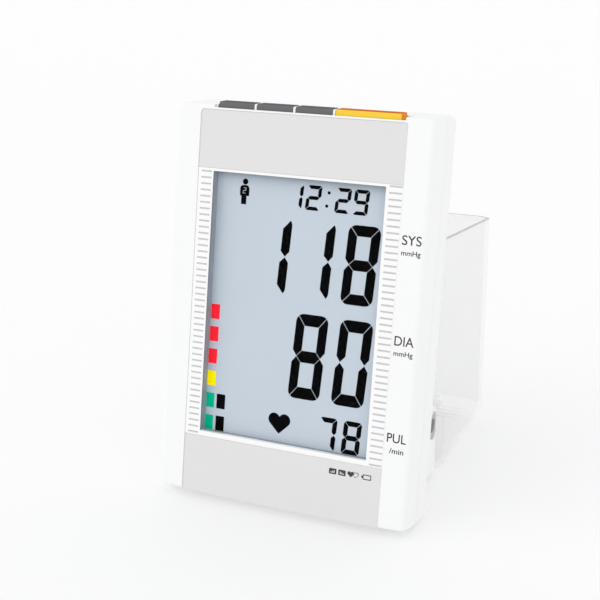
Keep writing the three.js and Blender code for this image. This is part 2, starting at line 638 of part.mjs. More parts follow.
const BUTTON_NAMES = ["memory_button", "clock_button", "user_button", "start_button"];
buttonSpans().forEach((span, i) => {
  const color = i === 3 ? 0xf39a2b : 0x6b6b70;
  place(slab, BUTTON_NAMES[i], button(span), plastic(color, 0.4));
  place(slab, `tact_switch_${i + 1}`, tactSwitch(span), metal(0xb8babd, 0.4));
});
const boardZ = [SWITCH_Z[0] - GAP - 1.2, SWITCH_Z[0] - GAP];
place(slab, "button_board", box([-39, 42], [4.9, 13.4], boardZ), plastic(0x1d5b38, 0.5));

place(slab, "battery_tray", batteryTray(), plastic(0xededeb, 0.6));
place(slab, "battery_door", batteryDoor(), plastic(white, 0.4));
for (const row of [0, 1]) {
  const facing = row ? 1 : -1;
  for (const column of [0, 1]) {
    const cell = batteryCell(row, column, facing);
    place(slab, `battery_cell_${row * 2 + column + 1}`, cell, metal(0x8c9096, 0.4));
  }
  place(slab, `battery_spring_${row + 1}`, batterySpring(row, -facing), metal(0xc9cbce, 0.25));
}
place(slab, "contact_plate_left", contactPlate(-1), metal(0xc9cbce, 0.25));
place(slab, "contact_plate_right", contactPlate(1), metal(0xc9cbce, 0.25));

place(monitor, "pump_motor", pumpMotor(), metal(0xb4b6b9, 0.35));
place(monitor, "pump_head", pumpHead(), plastic(0x2b2b2e, 0.5));
place(monitor, "motor_shaft", motorShaft(), metal(0xd2d4d6, 0.2));
place(monitor, "pump_eccentric", pumpEccentric(), plastic(0xe9e6dc, 0.5));
place(monitor, "valve_body", valveBody(), metal(0xa9abae, 0.4));
place(monitor, "valve_plunger", valvePlunger(), metal(0xd2d4d6, 0.25));
place(monitor, "air_manifold", airManifold(), plastic(0xe3e3df, 0.5));
place(monitor, "air_socket", airSocket(), plastic(0x55565a, 0.6));
place(monitor, "dc_jack", dcJack(), plastic(0x232326, 0.5));

// Hose routes from nipple to nipple.
const HOSES = {
  pump_tube: [
    [16.4, 48, 18.6], [17.7, 48, 18.6], [19.2, 49.4, 17.5], [19.3, 53.2, 14.5],
    [19.5, 57, 11.6], [20.7, 58.5, 10.4], [21.7, 58.5, 10.4]],
  valve_tube: [
    [29, 46.5, 10.4], [29, 49, 10.4], [29, 51.1, 10.4]],
  socket_tube: [
    [27.2, 58.5, 17.7], [27.2, 58.5, 19.2], [26.2, 60.4, 21.8],
    [26, 63.2, 24.4], [27.7, 64.6, 26], [29.6, 64.6, 26]],
  sensor_tube: [
    [32.6, 58.5, 17.7], [32.6, 58.5, 19.2], [31.9, 55.5, 22.6], [29.6, 48, 26],
    [26.4, 38, 27.2], [24, 29.5, 27.4], [24, 24.9, 27.9]],
};
for (const [name, points] of Object.entries(HOSES)) {
  place(monitor, name, tube(points, 4 * points.length), plastic(0xcfd2d4, 0.6));
}

[-1, 1].forEach((side) => {
  const hand = side < 0 ? "left" : "right";
  place(monitor, `front_foot_${hand}`, frontFoot(side), plastic(0x3a3a3c, 0.9));
  place(monitor, `rear_foot_${hand}`, rearFoot(side), plastic(0x3a3a3c, 0.9));
});
CASE_SCREWS.forEach((spot, i) => place(slab, `case_screw_${i + 1}`, caseScrew(spot), metal(0x8d9094, 0.3)));
place(monitor, "cuff_bin", cuffBin(), clear(0xeef0f0, 0.3));

export default monitor;
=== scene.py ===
"""Looks of the upper arm blood pressure monitor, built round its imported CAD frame."""

import json
import math

import bmesh
import bpy
from mathutils import Matrix, Vector


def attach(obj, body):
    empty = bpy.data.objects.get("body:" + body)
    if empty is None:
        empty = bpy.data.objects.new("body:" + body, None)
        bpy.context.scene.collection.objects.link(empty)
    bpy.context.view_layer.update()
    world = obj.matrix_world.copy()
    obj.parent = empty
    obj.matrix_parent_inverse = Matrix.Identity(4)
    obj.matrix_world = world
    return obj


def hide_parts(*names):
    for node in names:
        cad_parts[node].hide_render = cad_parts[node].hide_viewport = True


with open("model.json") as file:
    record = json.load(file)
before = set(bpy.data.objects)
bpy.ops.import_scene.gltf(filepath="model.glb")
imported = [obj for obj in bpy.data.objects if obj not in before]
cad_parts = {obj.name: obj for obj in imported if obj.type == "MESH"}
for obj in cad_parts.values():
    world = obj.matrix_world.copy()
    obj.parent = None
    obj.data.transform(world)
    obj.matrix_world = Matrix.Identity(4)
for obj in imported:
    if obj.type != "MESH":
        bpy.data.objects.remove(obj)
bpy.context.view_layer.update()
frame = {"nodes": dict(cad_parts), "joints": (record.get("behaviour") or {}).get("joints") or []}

# ---- Sizes, in millimetres ----
# The slab's own frame: x across, y into the slab from its face, z up along its face.
MM = 0.001
JOINTS = {joint["name"]: joint for joint in frame["joints"]}
SLAB_UP = Vector(JOINTS["bin_lift"]["axis"])
LEAN = math.atan2(SLAB_UP.y, SLAB_UP.z)
FRONT_EDGE_Y = -0.075  # the slab's front bottom edge, in the frame of the table
FRONT_LIFT = 4.9
TABLE = Matrix.Translation((0, FRONT_EDGE_Y, 0))
SLAB = Matrix.Translation((0, FRONT_EDGE_Y, FRONT_LIFT * MM)) @ Matrix.Rotation(-LEAN, 4, "X")

SLAB_HALF = 58.1
SLAB_HEIGHT = 168.0
SLAB_DEPTH = 29.0
SIDE_ROUND = 2.5  # front upright edges
EDGE_ROUND = 0.9  # front top and bottom edges
BACK_ROUND = 5.0
TOP_BACK_ROUND = 2.0
TOP_CORNER = 3.0  # the face's own corners
BOTTOM_CORNER = 1.6
TOP_RISE = 2.2  # the top surface rises this much from front to back
BOTTOM_BOW = 0.8  # the bottom edge hangs lower in the middle
BOTTOM_BELLY = 1.2  # and the bottom surface lower still halfway to the back
WALL = 2.2
SLAB_ROOM = ((-SLAB_HALF + WALL, SLAB_HALF - WALL), (WALL, SLAB_HEIGHT - WALL))
SEAM = (14.05, 14.2)  # where the front shell ends and the rear shell starts
BEZEL_BACK = 4.5  # the back of the front shell's face wall

PANEL_HALF = 46.4
PANEL_TOP = 166.0
PANEL_CORNERS = (0.3, 0.3, 1.0, 1.8)  # from the lower left round
RECESS_FLOOR = 2.7
FASCIA_Y = (0.35, 2.65)
FASCIA_ROUND = 0.25
FIT = 0.02  # between the face's flush pieces
FRAME_Z = (24.7, 141.4)
FRAME_Y = (0.3, 2.3)
WINDOW_X = (-39.0, 39.0)
WINDOW_Z = (27.0, 140.2)
LENS_Y = (2.5, 4.2)
LENS_GAP = 0.1
LCD_Y = (4.8, 7.0)
LCD_X = (-44.6, 44.6)
LCD_Z = (20.6, 145.0)
LCD_OPENING = ((-43.0, 43.0), (22.6, 143.4))
INK = 0.06  # thickness of printed marks and LCD segments
TICKS = 44
TICK_HALF = 0.34

BUTTON_Y = (2.9, 9.4)
BUTTON_START = -39.5
BUTTON_WIDTH = 16.6
START_WIDTH = 28.6
BUTTON_PITCH = BUTTON_WIDTH + 1.2
BUTTON_GAP = 0.3
RIB_HALF = 0.48
LIP_TOP = 166.8
KEY_RELIEF = 2.8  # the ledge at the end of the wide key
BUTTON_FACE_TOP = 169.1
BUTTON_TOP = 170.0
BUTTON_FOOT = 163.6
BUTTON_SLOT_FOOT = 161.5

DOOR_HALF = 50.7
DOOR_Z = (123.1, 154.3)
DOOR_GAP = 0.25
DOOR_NOTCH = 6.5  # radius of the finger notch over the door
DOOR_GRIPS = (144.5, 146.5, 148.5)
HOOK_X = 32.0
HOOK_Z = (92.4, 95.4)
HOOK_HALF = 4.0
HOOK_LIP = 5.0  # how far each hook reaches down behind the slab's back wall
HOOK_LIFT = 6.0  # room over each hook, to lift the bin off
POST_RADIUS = 4.3  # the posts the case screws go through
HEAD_RADIUS = 3.1
SHANK_RADIUS = 1.7
CASE_SCREWS = ((-51.5, 161.0), (51.5, 161.0), (-52.3, 12.0), (52.3, 12.0))

# The table's frame: x across, y back from the slab's front bottom edge, z up.
BLOCK_HALF = 48.0
BLOCK_Y = (26.0, 70.5)
BLOCK_Z = (1.5, 36.0)
SOCKET = {"y": 64.6, "z": 26.0, "width": 8.4, "height": 13.2, "hole": 3.3}
SPIGOT_RADIUS = 1.9
DC_JACK = {"y": 60.0, "z": 24.0, "hole": 4.6}
FRONT_PAD = {"x": 40.0, "y": 16.5, "radius": 4.2}
REAR_PAD = {"x": 38.0, "y": 60.0, "radius": 4.5}
PAD_ROUND = 0.35
TOTAL_DEPTH = 150.0
BIN_BACK_HALF = 47.1
BIN_TAPER = math.tan(math.radians(2.81))
BIN_WALL = 2.0
BIN_CORNER = 9.6
BIN_FLOOR_Z = 1.5
BIN_FLOOR_ROUND = 6.0
RIB_START = 128.3  # low ribs across the bin's floor
RIB_PITCH = 4.4
RIB_WIDTH = 1.4
RIB_HEIGHT = 0.6
BIN_RIM_BACK = 104.3
BIN_RIM_SLOPE = math.radians(5.9)
RIM_ABOVE = 90.0  # every face of the rim is over this height
BLOCK_ROUND = {"side": 3.5, "top": 6.0, "bottom": 3.0}
LEDGE_ROOM = 1.0  # between the block's top and the bin's step over it
BEHIND_ROOM = 0.8  # between the block's back and the bin's step
FAR = 400.0  # longer than anything here, for cutting tools

SQUARE = (0.4,) * 4  # corner radii of pieces with nearly sharp corners
SHARP = 0.05  # edge radius of cutting tools
PAST = 5.0  # how far a cutting tool reaches past the face it cuts
QUARTER = math.pi / 2

# ---- Mesh helpers ----


def outline(x, z, radii, steps=8):
    """A rounded rectangle, round from its lower left corner; radii has one radius for each corner."""
    corners = ((0, 0, math.pi), (1, 0, 1.5 * math.pi), (1, 1, 0.0), (0, 1, 0.5 * math.pi))
    points = []
    for (side, level, start), radius in zip(corners, radii):
        centre_x = x[side] + (radius if side == 0 else -radius)
        centre_z = z[level] + (radius if level == 0 else -radius)
        for k in range(steps + 1):
            angle = start + k * QUARTER / steps
            points.append((centre_x + radius * math.cos(angle), centre_z + radius * math.sin(angle)))
    return points


def grown(span, by):
    return (span[0] - by, span[1] + by)


def at_depth(points, y):
    return [(x, y, z) for x, z in points]


def at_height(points, z):
    return [(x, y, z) for x, y in points]


def at_side(points, x):
    return [(x, y, z) for y, z in points]


def loft(loops):
    """A closed mesh through loops of equally many points, capped at both ends."""
    mesh = bmesh.new()
    rings = [[mesh.verts.new(Vector(point) * MM) for point in loop] for loop in loops]
    for near, far in zip(rings, rings[1:]):
        for i in range(len(near)):
            j = (i + 1) % len(near)
            mesh.faces.new((near[i], near[j], far[j], far[i]))
    mesh.faces.new(list(reversed(rings[0])))
    mesh.faces.new(rings[-1])
    bmesh.ops.recalc_face_normals(mesh, faces=mesh.faces)
    return mesh


def rounding(radius, steps):
    """Pairs of (depth, inset) round a quarter circle, from the face to the side."""
    turns = [k * QUARTER / steps for k in range(steps + 1)]
    return [(radius * (1 - math.cos(t)), radius * (1 - math.sin(t))) for t in turns]


def profile_levels(span, front, back, steps=5):
    """(place, inset) along span for a body with rounded edges at both ends."""
    first = [(span[0] + depth, inset) for depth, inset in rounding(front, steps)]
    last = [(span[1] - depth, inset) for depth, inset in reversed(rounding(back, steps))]
    return first + last


def plate(x, z, y, radii, front, back=SHARP, place=at_depth):
    """A rounded plate whose edges are rounded at its near and far faces."""
    loops = []
    for level, inset in profile_levels(y, front, back):
        shrunk = [max(radius - inset, 0.02) for radius in radii]
        loops.append(place(outline(grown(x, -inset), grown(z, -inset), shrunk), level))
    return loft(loops)


def flared(across, up, span, radii, flare, place=at_depth):
    """A cutting tool for a pocket from the face span[0] in to span[1], with a rounded rim at the face."""
    inwards = math.copysign(1.0, span[1] - span[0])
    levels = [(span[0] - 2 * inwards, flare)]
    levels += [(span[0] + depth * inwards, inset) for depth, inset in rounding(flare, 4)]
    levels.append((span[1], 0.0))
    loops = []
    for level, wider in levels:
        rim = outline(grown(across, wider), grown(up, wider), [radius + wider for radius in radii])
        loops.append(place(rim, level))
    return loft(loops)


def box(x, y, z):
    return loft([at_height([(x[0], y[0]), (x[1], y[0]), (x[1], y[1]), (x[0], y[1])], level) for level in z])


def circle(centre, radius, sides=24):
    angles = [2 * math.pi * k / sides for k in range(sides)]
    return [(centre[0] + radius * math.cos(angle), centre[1] + radius * math.sin(angle)) for angle in angles]


def disc(centre, radius, span, place=at_depth, sides=48, front=0.0):
    """A round bar along span, with a rounded near end where front isn't zero."""
    levels = profile_levels(span, front + 1e-3, 1e-3, 4)
    return loft([place(circle(centre, radius - inset, sides), level) for level, inset in levels])


def merged(*meshes):
    """Several bmeshes as one, each still its own shell."""
    total = bmesh.new()
    for part in meshes:
        copy = bpy.data.meshes.new("part")
        part.to_mesh(copy)
        part.free()
        total.from_mesh(copy)
        bpy.data.meshes.remove(copy)
    return total


def make(name, mesh, matrix, material=None):
    """An object from a bmesh, placed by matrix."""
    data = bpy.data.meshes.new(name)
    mesh.to_mesh(data)
    mesh.free()
    made = bpy.data.objects.new(name, data)
    bpy.context.scene.collection.objects.link(made)
    made.matrix_world = matrix
    if material:
        data.materials.append(material)
    return made


def carve(base, tool, operation="DIFFERENCE"):
    """Cuts or joins tool, which is a bmesh in base's own frame or an object, and removes it."""
    if isinstance(tool, bmesh.types.BMesh):
        tool = make("tool", tool, base.matrix_world)
    modifier = base.modifiers.new("carve", "BOOLEAN")
    modifier.object = tool
    modifier.operation = operation
    modifier.solver = "EXACT"
    bpy.context.view_layer.update()
    evaluated = base.evaluated_get(bpy.context.evaluated_depsgraph_get())
    carved = bpy.data.meshes.new_from_object(evaluated)
    base.modifiers.clear()
    base.data = carved
    bpy.data.objects.remove(tool)
    return base


def smooth(piece):
    """Smooth shading with hard edges, and normals that follow the large faces."""
    mesh = bmesh.new()
    mesh.from_mesh(piece.data)
    limit = math.radians(34)
    for edge in mesh.edges:
        edge.smooth = len(edge.link_faces) == 2 and edge.calc_face_angle(math.pi) < limit
    for face in mesh.faces:
        face.smooth = True
    mesh.to_mesh(piece.data)
    mesh.free()
    weighted = piece.modifiers.new("weighted", "WEIGHTED_NORMAL")
    weighted.keep_sharp = True
    return piece


def upright(piece):
    """Turns a piece's own axes level and leaves its shape where it is, so that its box is a close fit."""
    piece.data.transform(TABLE.inverted() @ piece.matrix_world)
    piece.matrix_world = TABLE
    return piece


def seat(piece, body, slot, *nodes):
    """piece rides on body and stands for nodes; slot is not used."""
    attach(piece, body)
    if nodes:
        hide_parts(*nodes)
    return piece


# ---- Materials ----


def nodes_of(name):
    material = bpy.data.materials.new(name)
    material.use_nodes = True
    tree = material.node_tree
    return material, tree, tree.nodes["Principled BSDF"]


def preset(node, values):
    """Gives each named input of a node its value."""
    for name, value in values.items():
        node.inputs[name].default_value = value


def own_place(tree):
    """Where a point is in the piece's own axes."""
    return tree.nodes.new("ShaderNodeTexCoord").outputs["Object"]


def stretched(tree, scale):
    """The same, with another scale along each axis."""
    mapping = tree.nodes.new("ShaderNodeMapping")
    mapping.inputs["Scale"].default_value = scale
    tree.links.new(own_place(tree), mapping.inputs["Vector"])
    return mapping.outputs["Vector"]


def noise(tree, scale, detail=3.0, coordinates=None):
    texture = tree.nodes.new("ShaderNodeTexNoise")
    preset(texture, {"Scale": scale, "Detail": detail})
    tree.links.new(coordinates or own_place(tree), texture.inputs["Vector"])
    return texture.outputs["Fac"]


def ranged(tree, value, low, high):
    """value, which runs about a half, spread from low to high."""
    spread = tree.nodes.new("ShaderNodeMapRange")
    preset(spread, {"From Min": 0.3, "From Max": 0.7, "To Min": low, "To Max": high})
    tree.links.new(value, spread.inputs["Value"])
    return spread.outputs["Result"]


def bump(tree, shader, height, strength, distance=0.02):
    relief = tree.nodes.new("ShaderNodeBump")
    preset(relief, {"Strength": strength, "Distance": distance * MM})
    tree.links.new(height, relief.inputs["Height"])
    tree.links.new(relief.outputs["Normal"], shader.inputs["Normal"])


def tint(tree, factor, low, high):
    """A colour between low and high by factor."""
    mix = tree.nodes.new("ShaderNodeMix")
    mix.data_type = "RGBA"
    preset(mix, {"A": (*low, 1), "B": (*high, 1)})
    tree.links.new(factor, mix.inputs["Factor"])
    return mix.outputs["Result"]


def moulded(name, color, roughness, grain, relief, spread, specular=0.4):
    """Moulded plastic: a fine grain, a slow change of shade and a slightly uneven gloss."""
    material, tree, shader = nodes_of(name)
    darker = tuple(channel * (1 - spread) for channel in color)
    slow = noise(tree, 22.0, 2.0)
    tree.links.new(tint(tree, ranged(tree, slow, 0.0, 1.0), darker, color), shader.inputs["Base Color"])
    fine = noise(tree, grain, 4.0)
    tree.links.new(ranged(tree, fine, roughness * 0.93, roughness * 1.07), shader.inputs["Roughness"])
    bump(tree, shader, fine, relief)
    shader.inputs["Specular IOR Level"].default_value = specular
    return material


def brushed(name, color, roughness=0.3, stretch=(40.0, 900.0, 900.0)):
    """Metal with a grain drawn along one direction."""
    material, tree, shader = nodes_of(name)
    grain = noise(tree, 1.0, 5.0, stretched(tree, stretch))
    darker = tuple(channel * 0.8 for channel in color)
    tree.links.new(tint(tree, ranged(tree, grain, 0.0, 1.0), darker, color), shader.inputs["Base Color"])
    tree.links.new(ranged(tree, grain, roughness * 0.8, roughness * 1.25), shader.inputs["Roughness"])
    shader.inputs["Metallic"].default_value = 1.0
    bump(tree, shader, grain, 0.2)
    return material


def circuit_board(name):
    """Green solder mask over tracks that show as slightly lighter, raised lines."""
    material, tree, shader = nodes_of(name)
    brick = tree.nodes.new("ShaderNodeTexBrick")
    preset(brick, {"Scale": 260.0, "Mortar Size": 0.08, "Color1": (0.010, 0.085, 0.035, 1),
                   "Color2": (0.014, 0.105, 0.045, 1), "Mortar": (0.035, 0.17, 0.075, 1)})
    tree.links.new(own_place(tree), brick.inputs["Vector"])
    tree.links.new(brick.outputs["Color"], shader.inputs["Base Color"])
    bump(tree, shader, brick.outputs["Fac"], 0.4)
    tree.links.new(ranged(tree, noise(tree, 300.0), 0.3, 0.42), shader.inputs["Roughness"])
    return material


def maths(tree, operation, first, second=None):
    step = tree.nodes.new("ShaderNodeMath")
    step.operation = operation
    for socket, value in zip(step.inputs, (first, second)):
        if value is None:
            continue
        if isinstance(value, (int, float)):
            socket.default_value = value
        else:
            tree.links.new(value, socket)
    return step.outputs[0]


def edge_fade(tree, axis, edge, direction, reach):
    """1 at an edge of the window, and falling off over reach away from it, in the slab's own frame."""
    split = tree.nodes.new("ShaderNodeSeparateXYZ")
    tree.links.new(own_place(tree), split.inputs["Vector"])
    away = maths(tree, "MULTIPLY", maths(tree, "SUBTRACT", split.outputs[axis], edge * MM), direction)
    inside = maths(tree, "MAXIMUM", away, 0.0)
    return maths(tree, "EXPONENT", maths(tree, "MULTIPLY", inside, -1 / (reach * MM)))


LCD_LIT = (0.645, 0.722, 0.81)
LCD_SHADE = (0.33, 0.36, 0.40)


def liquid_crystal(name):
    """Pale blue-grey panel, shaded under the window's left and top edges, with a faint cell pattern."""
    material, tree, shader = nodes_of(name)
    left = edge_fade(tree, "X", WINDOW_X[0], 1.0, 1.4)
    top = edge_fade(tree, "Z", WINDOW_Z[1], -1.0, 1.9)
    shade = maths(tree, "MINIMUM", maths(tree, "ADD", maths(tree, "MULTIPLY", left, 0.17),
                                         maths(tree, "MULTIPLY", top, 0.9)), 1.0)
    lit = tint(tree, ranged(tree, noise(tree, 30.0, 2.0), 0.0, 1.0),
               tuple(channel * 0.985 for channel in LCD_LIT), LCD_LIT)
    mix = tree.nodes.new("ShaderNodeMix")
    mix.data_type = "RGBA"
    mix.inputs["B"].default_value = (*LCD_SHADE, 1)
    tree.links.new(shade, mix.inputs["Factor"])
    tree.links.new(lit, mix.inputs["A"])
    tree.links.new(mix.outputs["Result"], shader.inputs["Base Color"])
    tree.links.new(ranged(tree, noise(tree, 1500.0), 0.42, 0.5), shader.inputs["Roughness"])
    shader.inputs["Specular IOR Level"].default_value = 0.1
    return material


def window_wall_shade(name):
    """Grey wall of the window's well, darker towards its mouth; the grey and the darkening are painted
    shade.
    """
    material, tree, shader = nodes_of(name)
    fade = edge_fade(tree, "Y", FRAME_Y[0], 1.0, 2.4)
    lit = tint(tree, fade, (0.42, 0.465, 0.52), (0.21, 0.23, 0.26))
    tree.links.new(lit, shader.inputs["Base Color"])
    tree.links.new(ranged(tree, noise(tree, 900.0), 0.5, 0.6), shader.inputs["Roughness"])
    shader.inputs["Specular IOR Level"].default_value = 0.15
    return material


def ink(name, color, roughness=0.6, specular=0.05, glow=0.0):
    """Printed or switched marks: one colour, broken a little by the grain, and brightened by glow, a painted
    light.
    """
    material, tree, shader = nodes_of(name)
    lighter = tuple(min(channel * 1.15 + 0.002, 1) for channel in color)
    grain = ranged(tree, noise(tree, 1800.0), 0.0, 1.0)
    tree.links.new(tint(tree, grain, color, lighter), shader.inputs["Base Color"])
    preset(shader, {"Roughness": roughness, "Specular IOR Level": specular,
                    "Emission Color": (*color, 1), "Emission Strength": glow})
    return material


def clear_plastic(name, color, alpha, roughness=0.12, flow=0.12, specular=0.5):
    """Clear moulding: mostly see-through, with flow marks that change its gloss and density a little."""
    material, tree, shader = nodes_of(name)
    marks = noise(tree, 38.0, 2.0, stretched(tree, (1.0, 1.0, 0.35)))
    paler = tuple(min(channel * 1.03, 1) for channel in color)
    tree.links.new(tint(tree, ranged(tree, marks, 0.0, 1.0), color, paler), shader.inputs["Base Color"])
    tree.links.new(ranged(tree, marks, roughness, roughness * 1.4), shader.inputs["Roughness"])
    bump(tree, shader, marks, flow, 0.2)
    preset(shader, {"Alpha": alpha, "Specular IOR Level": specular})
    return material


WHITE = moulded("white_shell", (0.935, 0.94, 0.94), 0.38, 700.0, 0.12, 0.008)
REAR_WHITE = moulded("white_rear", (0.935, 0.94, 0.94), 0.42, 700.0, 0.2, 0.01)
FASCIA = moulded("grey_fascia", (0.765, 0.76, 0.765), 0.3, 500.0, 0.03, 0.01, 0.3)
FRAME_WHITE = moulded("white_frame", (0.95, 0.95, 0.95), 0.35, 500.0, 0.03, 0.004, 0.3)
# Beside each key colour stand darker copies for its top and back, and for the orange key's ends too: painted
# shade.
GREY_KEY = moulded("grey_key", (0.155, 0.155, 0.165), 0.5, 900.0, 0.3, 0.05, 0.25)
KEY_TOP_SHADE = moulded("grey_key_top_shade", (0.085, 0.085, 0.095), 0.6, 900.0, 0.3, 0.05, 0.08)
ORANGE_KEY = moulded("orange_key", (0.97, 0.66, 0.06), 0.5, 900.0, 0.2, 0.04, 0.15)
ORANGE_TOP_SHADE = moulded("orange_key_top_shade", (0.66, 0.15, 0.012), 0.7, 900.0, 0.2, 0.04, 0.03)
ORANGE_END_SHADE = moulded("orange_key_end_shade", (0.92, 0.30, 0.02), 0.6, 900.0, 0.2, 0.04, 0.08)
LCD_FACE = liquid_crystal("lcd_face")
WELL_SHADE = window_wall_shade("window_wall_shade")
BLACK_INK = ink("segment_black", (0.0012, 0.0012, 0.0016), 0.7, 0.02)
# The coloured bars glow a little: painted light that keeps them bright beside the window's shaded left edge.
RED_INK = ink("bar_red", (1.0, 0.018, 0.035), 0.6, 0.03, 0.26)
YELLOW_INK = ink("bar_yellow", (1.0, 0.80, 0.0), 0.6, 0.03, 0.26)
GREEN_INK = ink("bar_green", (0.0, 0.44, 0.25), 0.6, 0.03, 0.26)
TICK_INK = ink("tick_grey", (0.54, 0.54, 0.56))
LABEL_INK = ink("label_grey", (0.025, 0.025, 0.028))
ICON_INK = ink("icon_grey", (0.06, 0.06, 0.068))
BIN_CLEAR = clear_plastic("bin_clear", (0.90, 0.905, 0.905), 0.22)
# The rim's dark grey is painted shade and the foot's white a painted highlight, both on the bin's clear
# plastic.
BIN_RIM_SHADE = clear_plastic("bin_rim_shade", (0.36, 0.365, 0.37), 0.9, 0.2)
BIN_FOOT_HIGHLIGHT = clear_plastic("bin_foot_highlight", (1.0, 1.0, 1.0), 0.08, 0.08, 0.05, 0.7)
LENS_CLEAR = clear_plastic("lens_clear", (0.01, 0.012, 0.015), 0.03, 0.08, 0.02, 0.1)
RUBBER = moulded("foot_rubber", (0.035, 0.035, 0.037), 0.75, 1200.0, 0.6, 0.15, 0.25)
SOCKET_GREY = moulded("socket_grey", (0.50, 0.50, 0.51), 0.5, 900.0, 0.3, 0.05)
BLACK_PART = moulded("black_part", (0.02, 0.02, 0.022), 0.45, 900.0, 0.4, 0.2)
CARRIER = moulded("carrier_white", (0.80, 0.80, 0.78), 0.55, 600.0, 0.3, 0.03)
DIFFUSER = moulded("diffuser", (0.82, 0.85, 0.88), 0.5, 500.0, 0.1, 0.02)
NYLON = moulded("nylon", (0.78, 0.76, 0.68), 0.5, 500.0, 0.3, 0.05)
SENSOR_GREY = moulded("sensor_grey", (0.42, 0.43, 0.46), 0.45, 900.0, 0.3, 0.05)
HOSE = moulded("hose_silicone", (0.60, 0.62, 0.64), 0.55, 400.0, 0.25, 0.06, 0.5)
STEEL = brushed("plated_steel", (0.62, 0.63, 0.65))
CELL_WRAP = brushed("cell_wrap", (0.30, 0.32, 0.36), 0.35, (900.0, 60.0, 60.0))
BOARD = circuit_board("solder_mask")


def striped_rubber():
    """Conductive rubber: carbon stripes across a pink strip."""
    material, tree, shader = nodes_of("zebra_rubber")
    wave = tree.nodes.new("ShaderNodeTexWave")
    wave.inputs["Scale"].default_value = 600.0
    tree.links.new(own_place(tree), wave.inputs["Vector"])
    tree.links.new(tint(tree, wave.outputs["Fac"], (0.05, 0.03, 0.03), (0.55, 0.2, 0.25)),
                   shader.inputs["Base Color"])
    shader.inputs["Roughness"].default_value = 0.7
    return material


ZEBRA = striped_rubber()

# ---- Slab shells ----


def drawn_in(distance, radius):
    """How far a rounded edge draws in at a distance from the face it rounds into."""
    if distance >= radius:
        return 0.0
    return radius - math.sqrt(radius ** 2 - (radius - distance) ** 2)


def slab_outline(y):
    """The slab's outline at depth y: rounded corners, a rising top and a bowed, bellied bottom."""
    steps = 10
    bow_steps = 16
    back = SLAB_DEPTH - y
    half = SLAB_HALF - drawn_in(y, SIDE_ROUND) - drawn_in(back, BACK_ROUND)
    middle = SLAB_DEPTH * 0.45
    belly = BOTTOM_BELLY * (1 - ((y - middle) / middle) ** 2)
    bottom = drawn_in(y, EDGE_ROUND) + drawn_in(back, BACK_ROUND) - belly
    rise = TOP_RISE * y / SLAB_DEPTH
    top = SLAB_HEIGHT + rise - drawn_in(y, EDGE_ROUND) - drawn_in(back, TOP_BACK_ROUND)
    points = outline((-half, half), (bottom, top), (BOTTOM_CORNER,) * 2 + (TOP_CORNER,) * 2, steps)
    reach = half - BOTTOM_CORNER
    bow = []
    for k in range(1, bow_steps):
        x = reach * (2 * k / bow_steps - 1)
        bow.append((x, bottom - BOTTOM_BOW * (1 - (x / reach) ** 2)))
    return points[:steps + 1] + bow + points[steps + 1:]


def slab_form(levels):
    return loft([at_depth(slab_outline(y), y) for y in levels])


def turned(radius, steps):
    """Distances from a face, closest together there, over which an edge of this radius rounds."""
    return [radius * (1 - math.cos(k * QUARTER / steps)) for k in range(steps + 1)]


def front_form():
    turn = turned(SIDE_ROUND, 12)
    return slab_form(turn + [SIDE_ROUND + (SEAM[0] - SIDE_ROUND) * k / 5 for k in range(1, 6)])


def rear_form():
    start = SLAB_DEPTH - BACK_ROUND
    turn = [SLAB_DEPTH - distance for distance in reversed(turned(BACK_ROUND, 14))]
    return slab_form([SEAM[1] + (start - SEAM[1]) * k / 4 for k in range(4)] + turn)


def button_spans():
    starts = [BUTTON_START + i * BUTTON_PITCH for i in range(4)]
    widths = [BUTTON_WIDTH] * 3 + [START_WIDTH]
    return [(start, start + width) for start, width in zip(starts, widths)]


def front_shell():
    """The front half of the slab, with its recess, its opening for the display and the keys' slots."""
    shell = make("bezel_shell", front_form(), SLAB, WHITE)
    carve(shell, plate(*SLAB_ROOM, (BEZEL_BACK, 20), (2.0,) * 4, SHARP))
    carve(shell, flared((-PANEL_HALF, PANEL_HALF), (-20, PANEL_TOP), (0, RECESS_FLOOR), PANEL_CORNERS, 0.15))
    carve(shell, box(LCD_OPENING[0], (1, 6), LCD_OPENING[1]))
    spans = button_spans()
    slot_y = grown(BUTTON_Y, BUTTON_GAP)
    slots = [box(grown(span, BUTTON_GAP), slot_y, (BUTTON_SLOT_FOOT, SLAB_HEIGHT + 2)) for span in spans]
    carve(shell, merged(*slots))
    above = (LIP_TOP, SLAB_HEIGHT + PAST)
    ledge_end = spans[-1][1] + KEY_RELIEF
    carve(shell, plate((spans[0][0] - 0.8, ledge_end), above, (-2, BUTTON_Y[0]), SQUARE, SHARP))
    carve(shell, plate((spans[-1][1], ledge_end), above, (-2, BUTTON_Y[1]), SQUARE, SHARP))
    for span in spans[1:]:
        middle = span[0] - (BUTTON_PITCH - BUTTON_WIDTH) / 2
        profile = key_profile(LIP_TOP - 1, 0.25)
        rib = loft([at_side(profile, x) for x in (middle - RIB_HALF, middle + RIB_HALF)])
        carve(shell, rib, "UNION")
    return seat(smooth(shell), "housing", "white_shell", "front_bezel")


def block_form():
    """The base block: loops from its root in the slab to its rounded back."""
    distances = [BLOCK_Y[1] - BLOCK_Y[0]] + turned(BLOCK_ROUND["top"], 12)[::-1]
    loops = []
    for distance in distances:
        half = BLOCK_HALF - drawn_in(distance, BLOCK_ROUND["side"])
        top = BLOCK_Z[1] - drawn_in(distance, BLOCK_ROUND["top"])
        bottom = BLOCK_Z[0] + drawn_in(distance, BLOCK_ROUND["bottom"])
        shape = outline((-half, half), (bottom, top), (2.0, 2.0, 2.5, 2.5))
        loops.append(at_depth(shape, BLOCK_Y[1] - distance))
    return loft(loops)


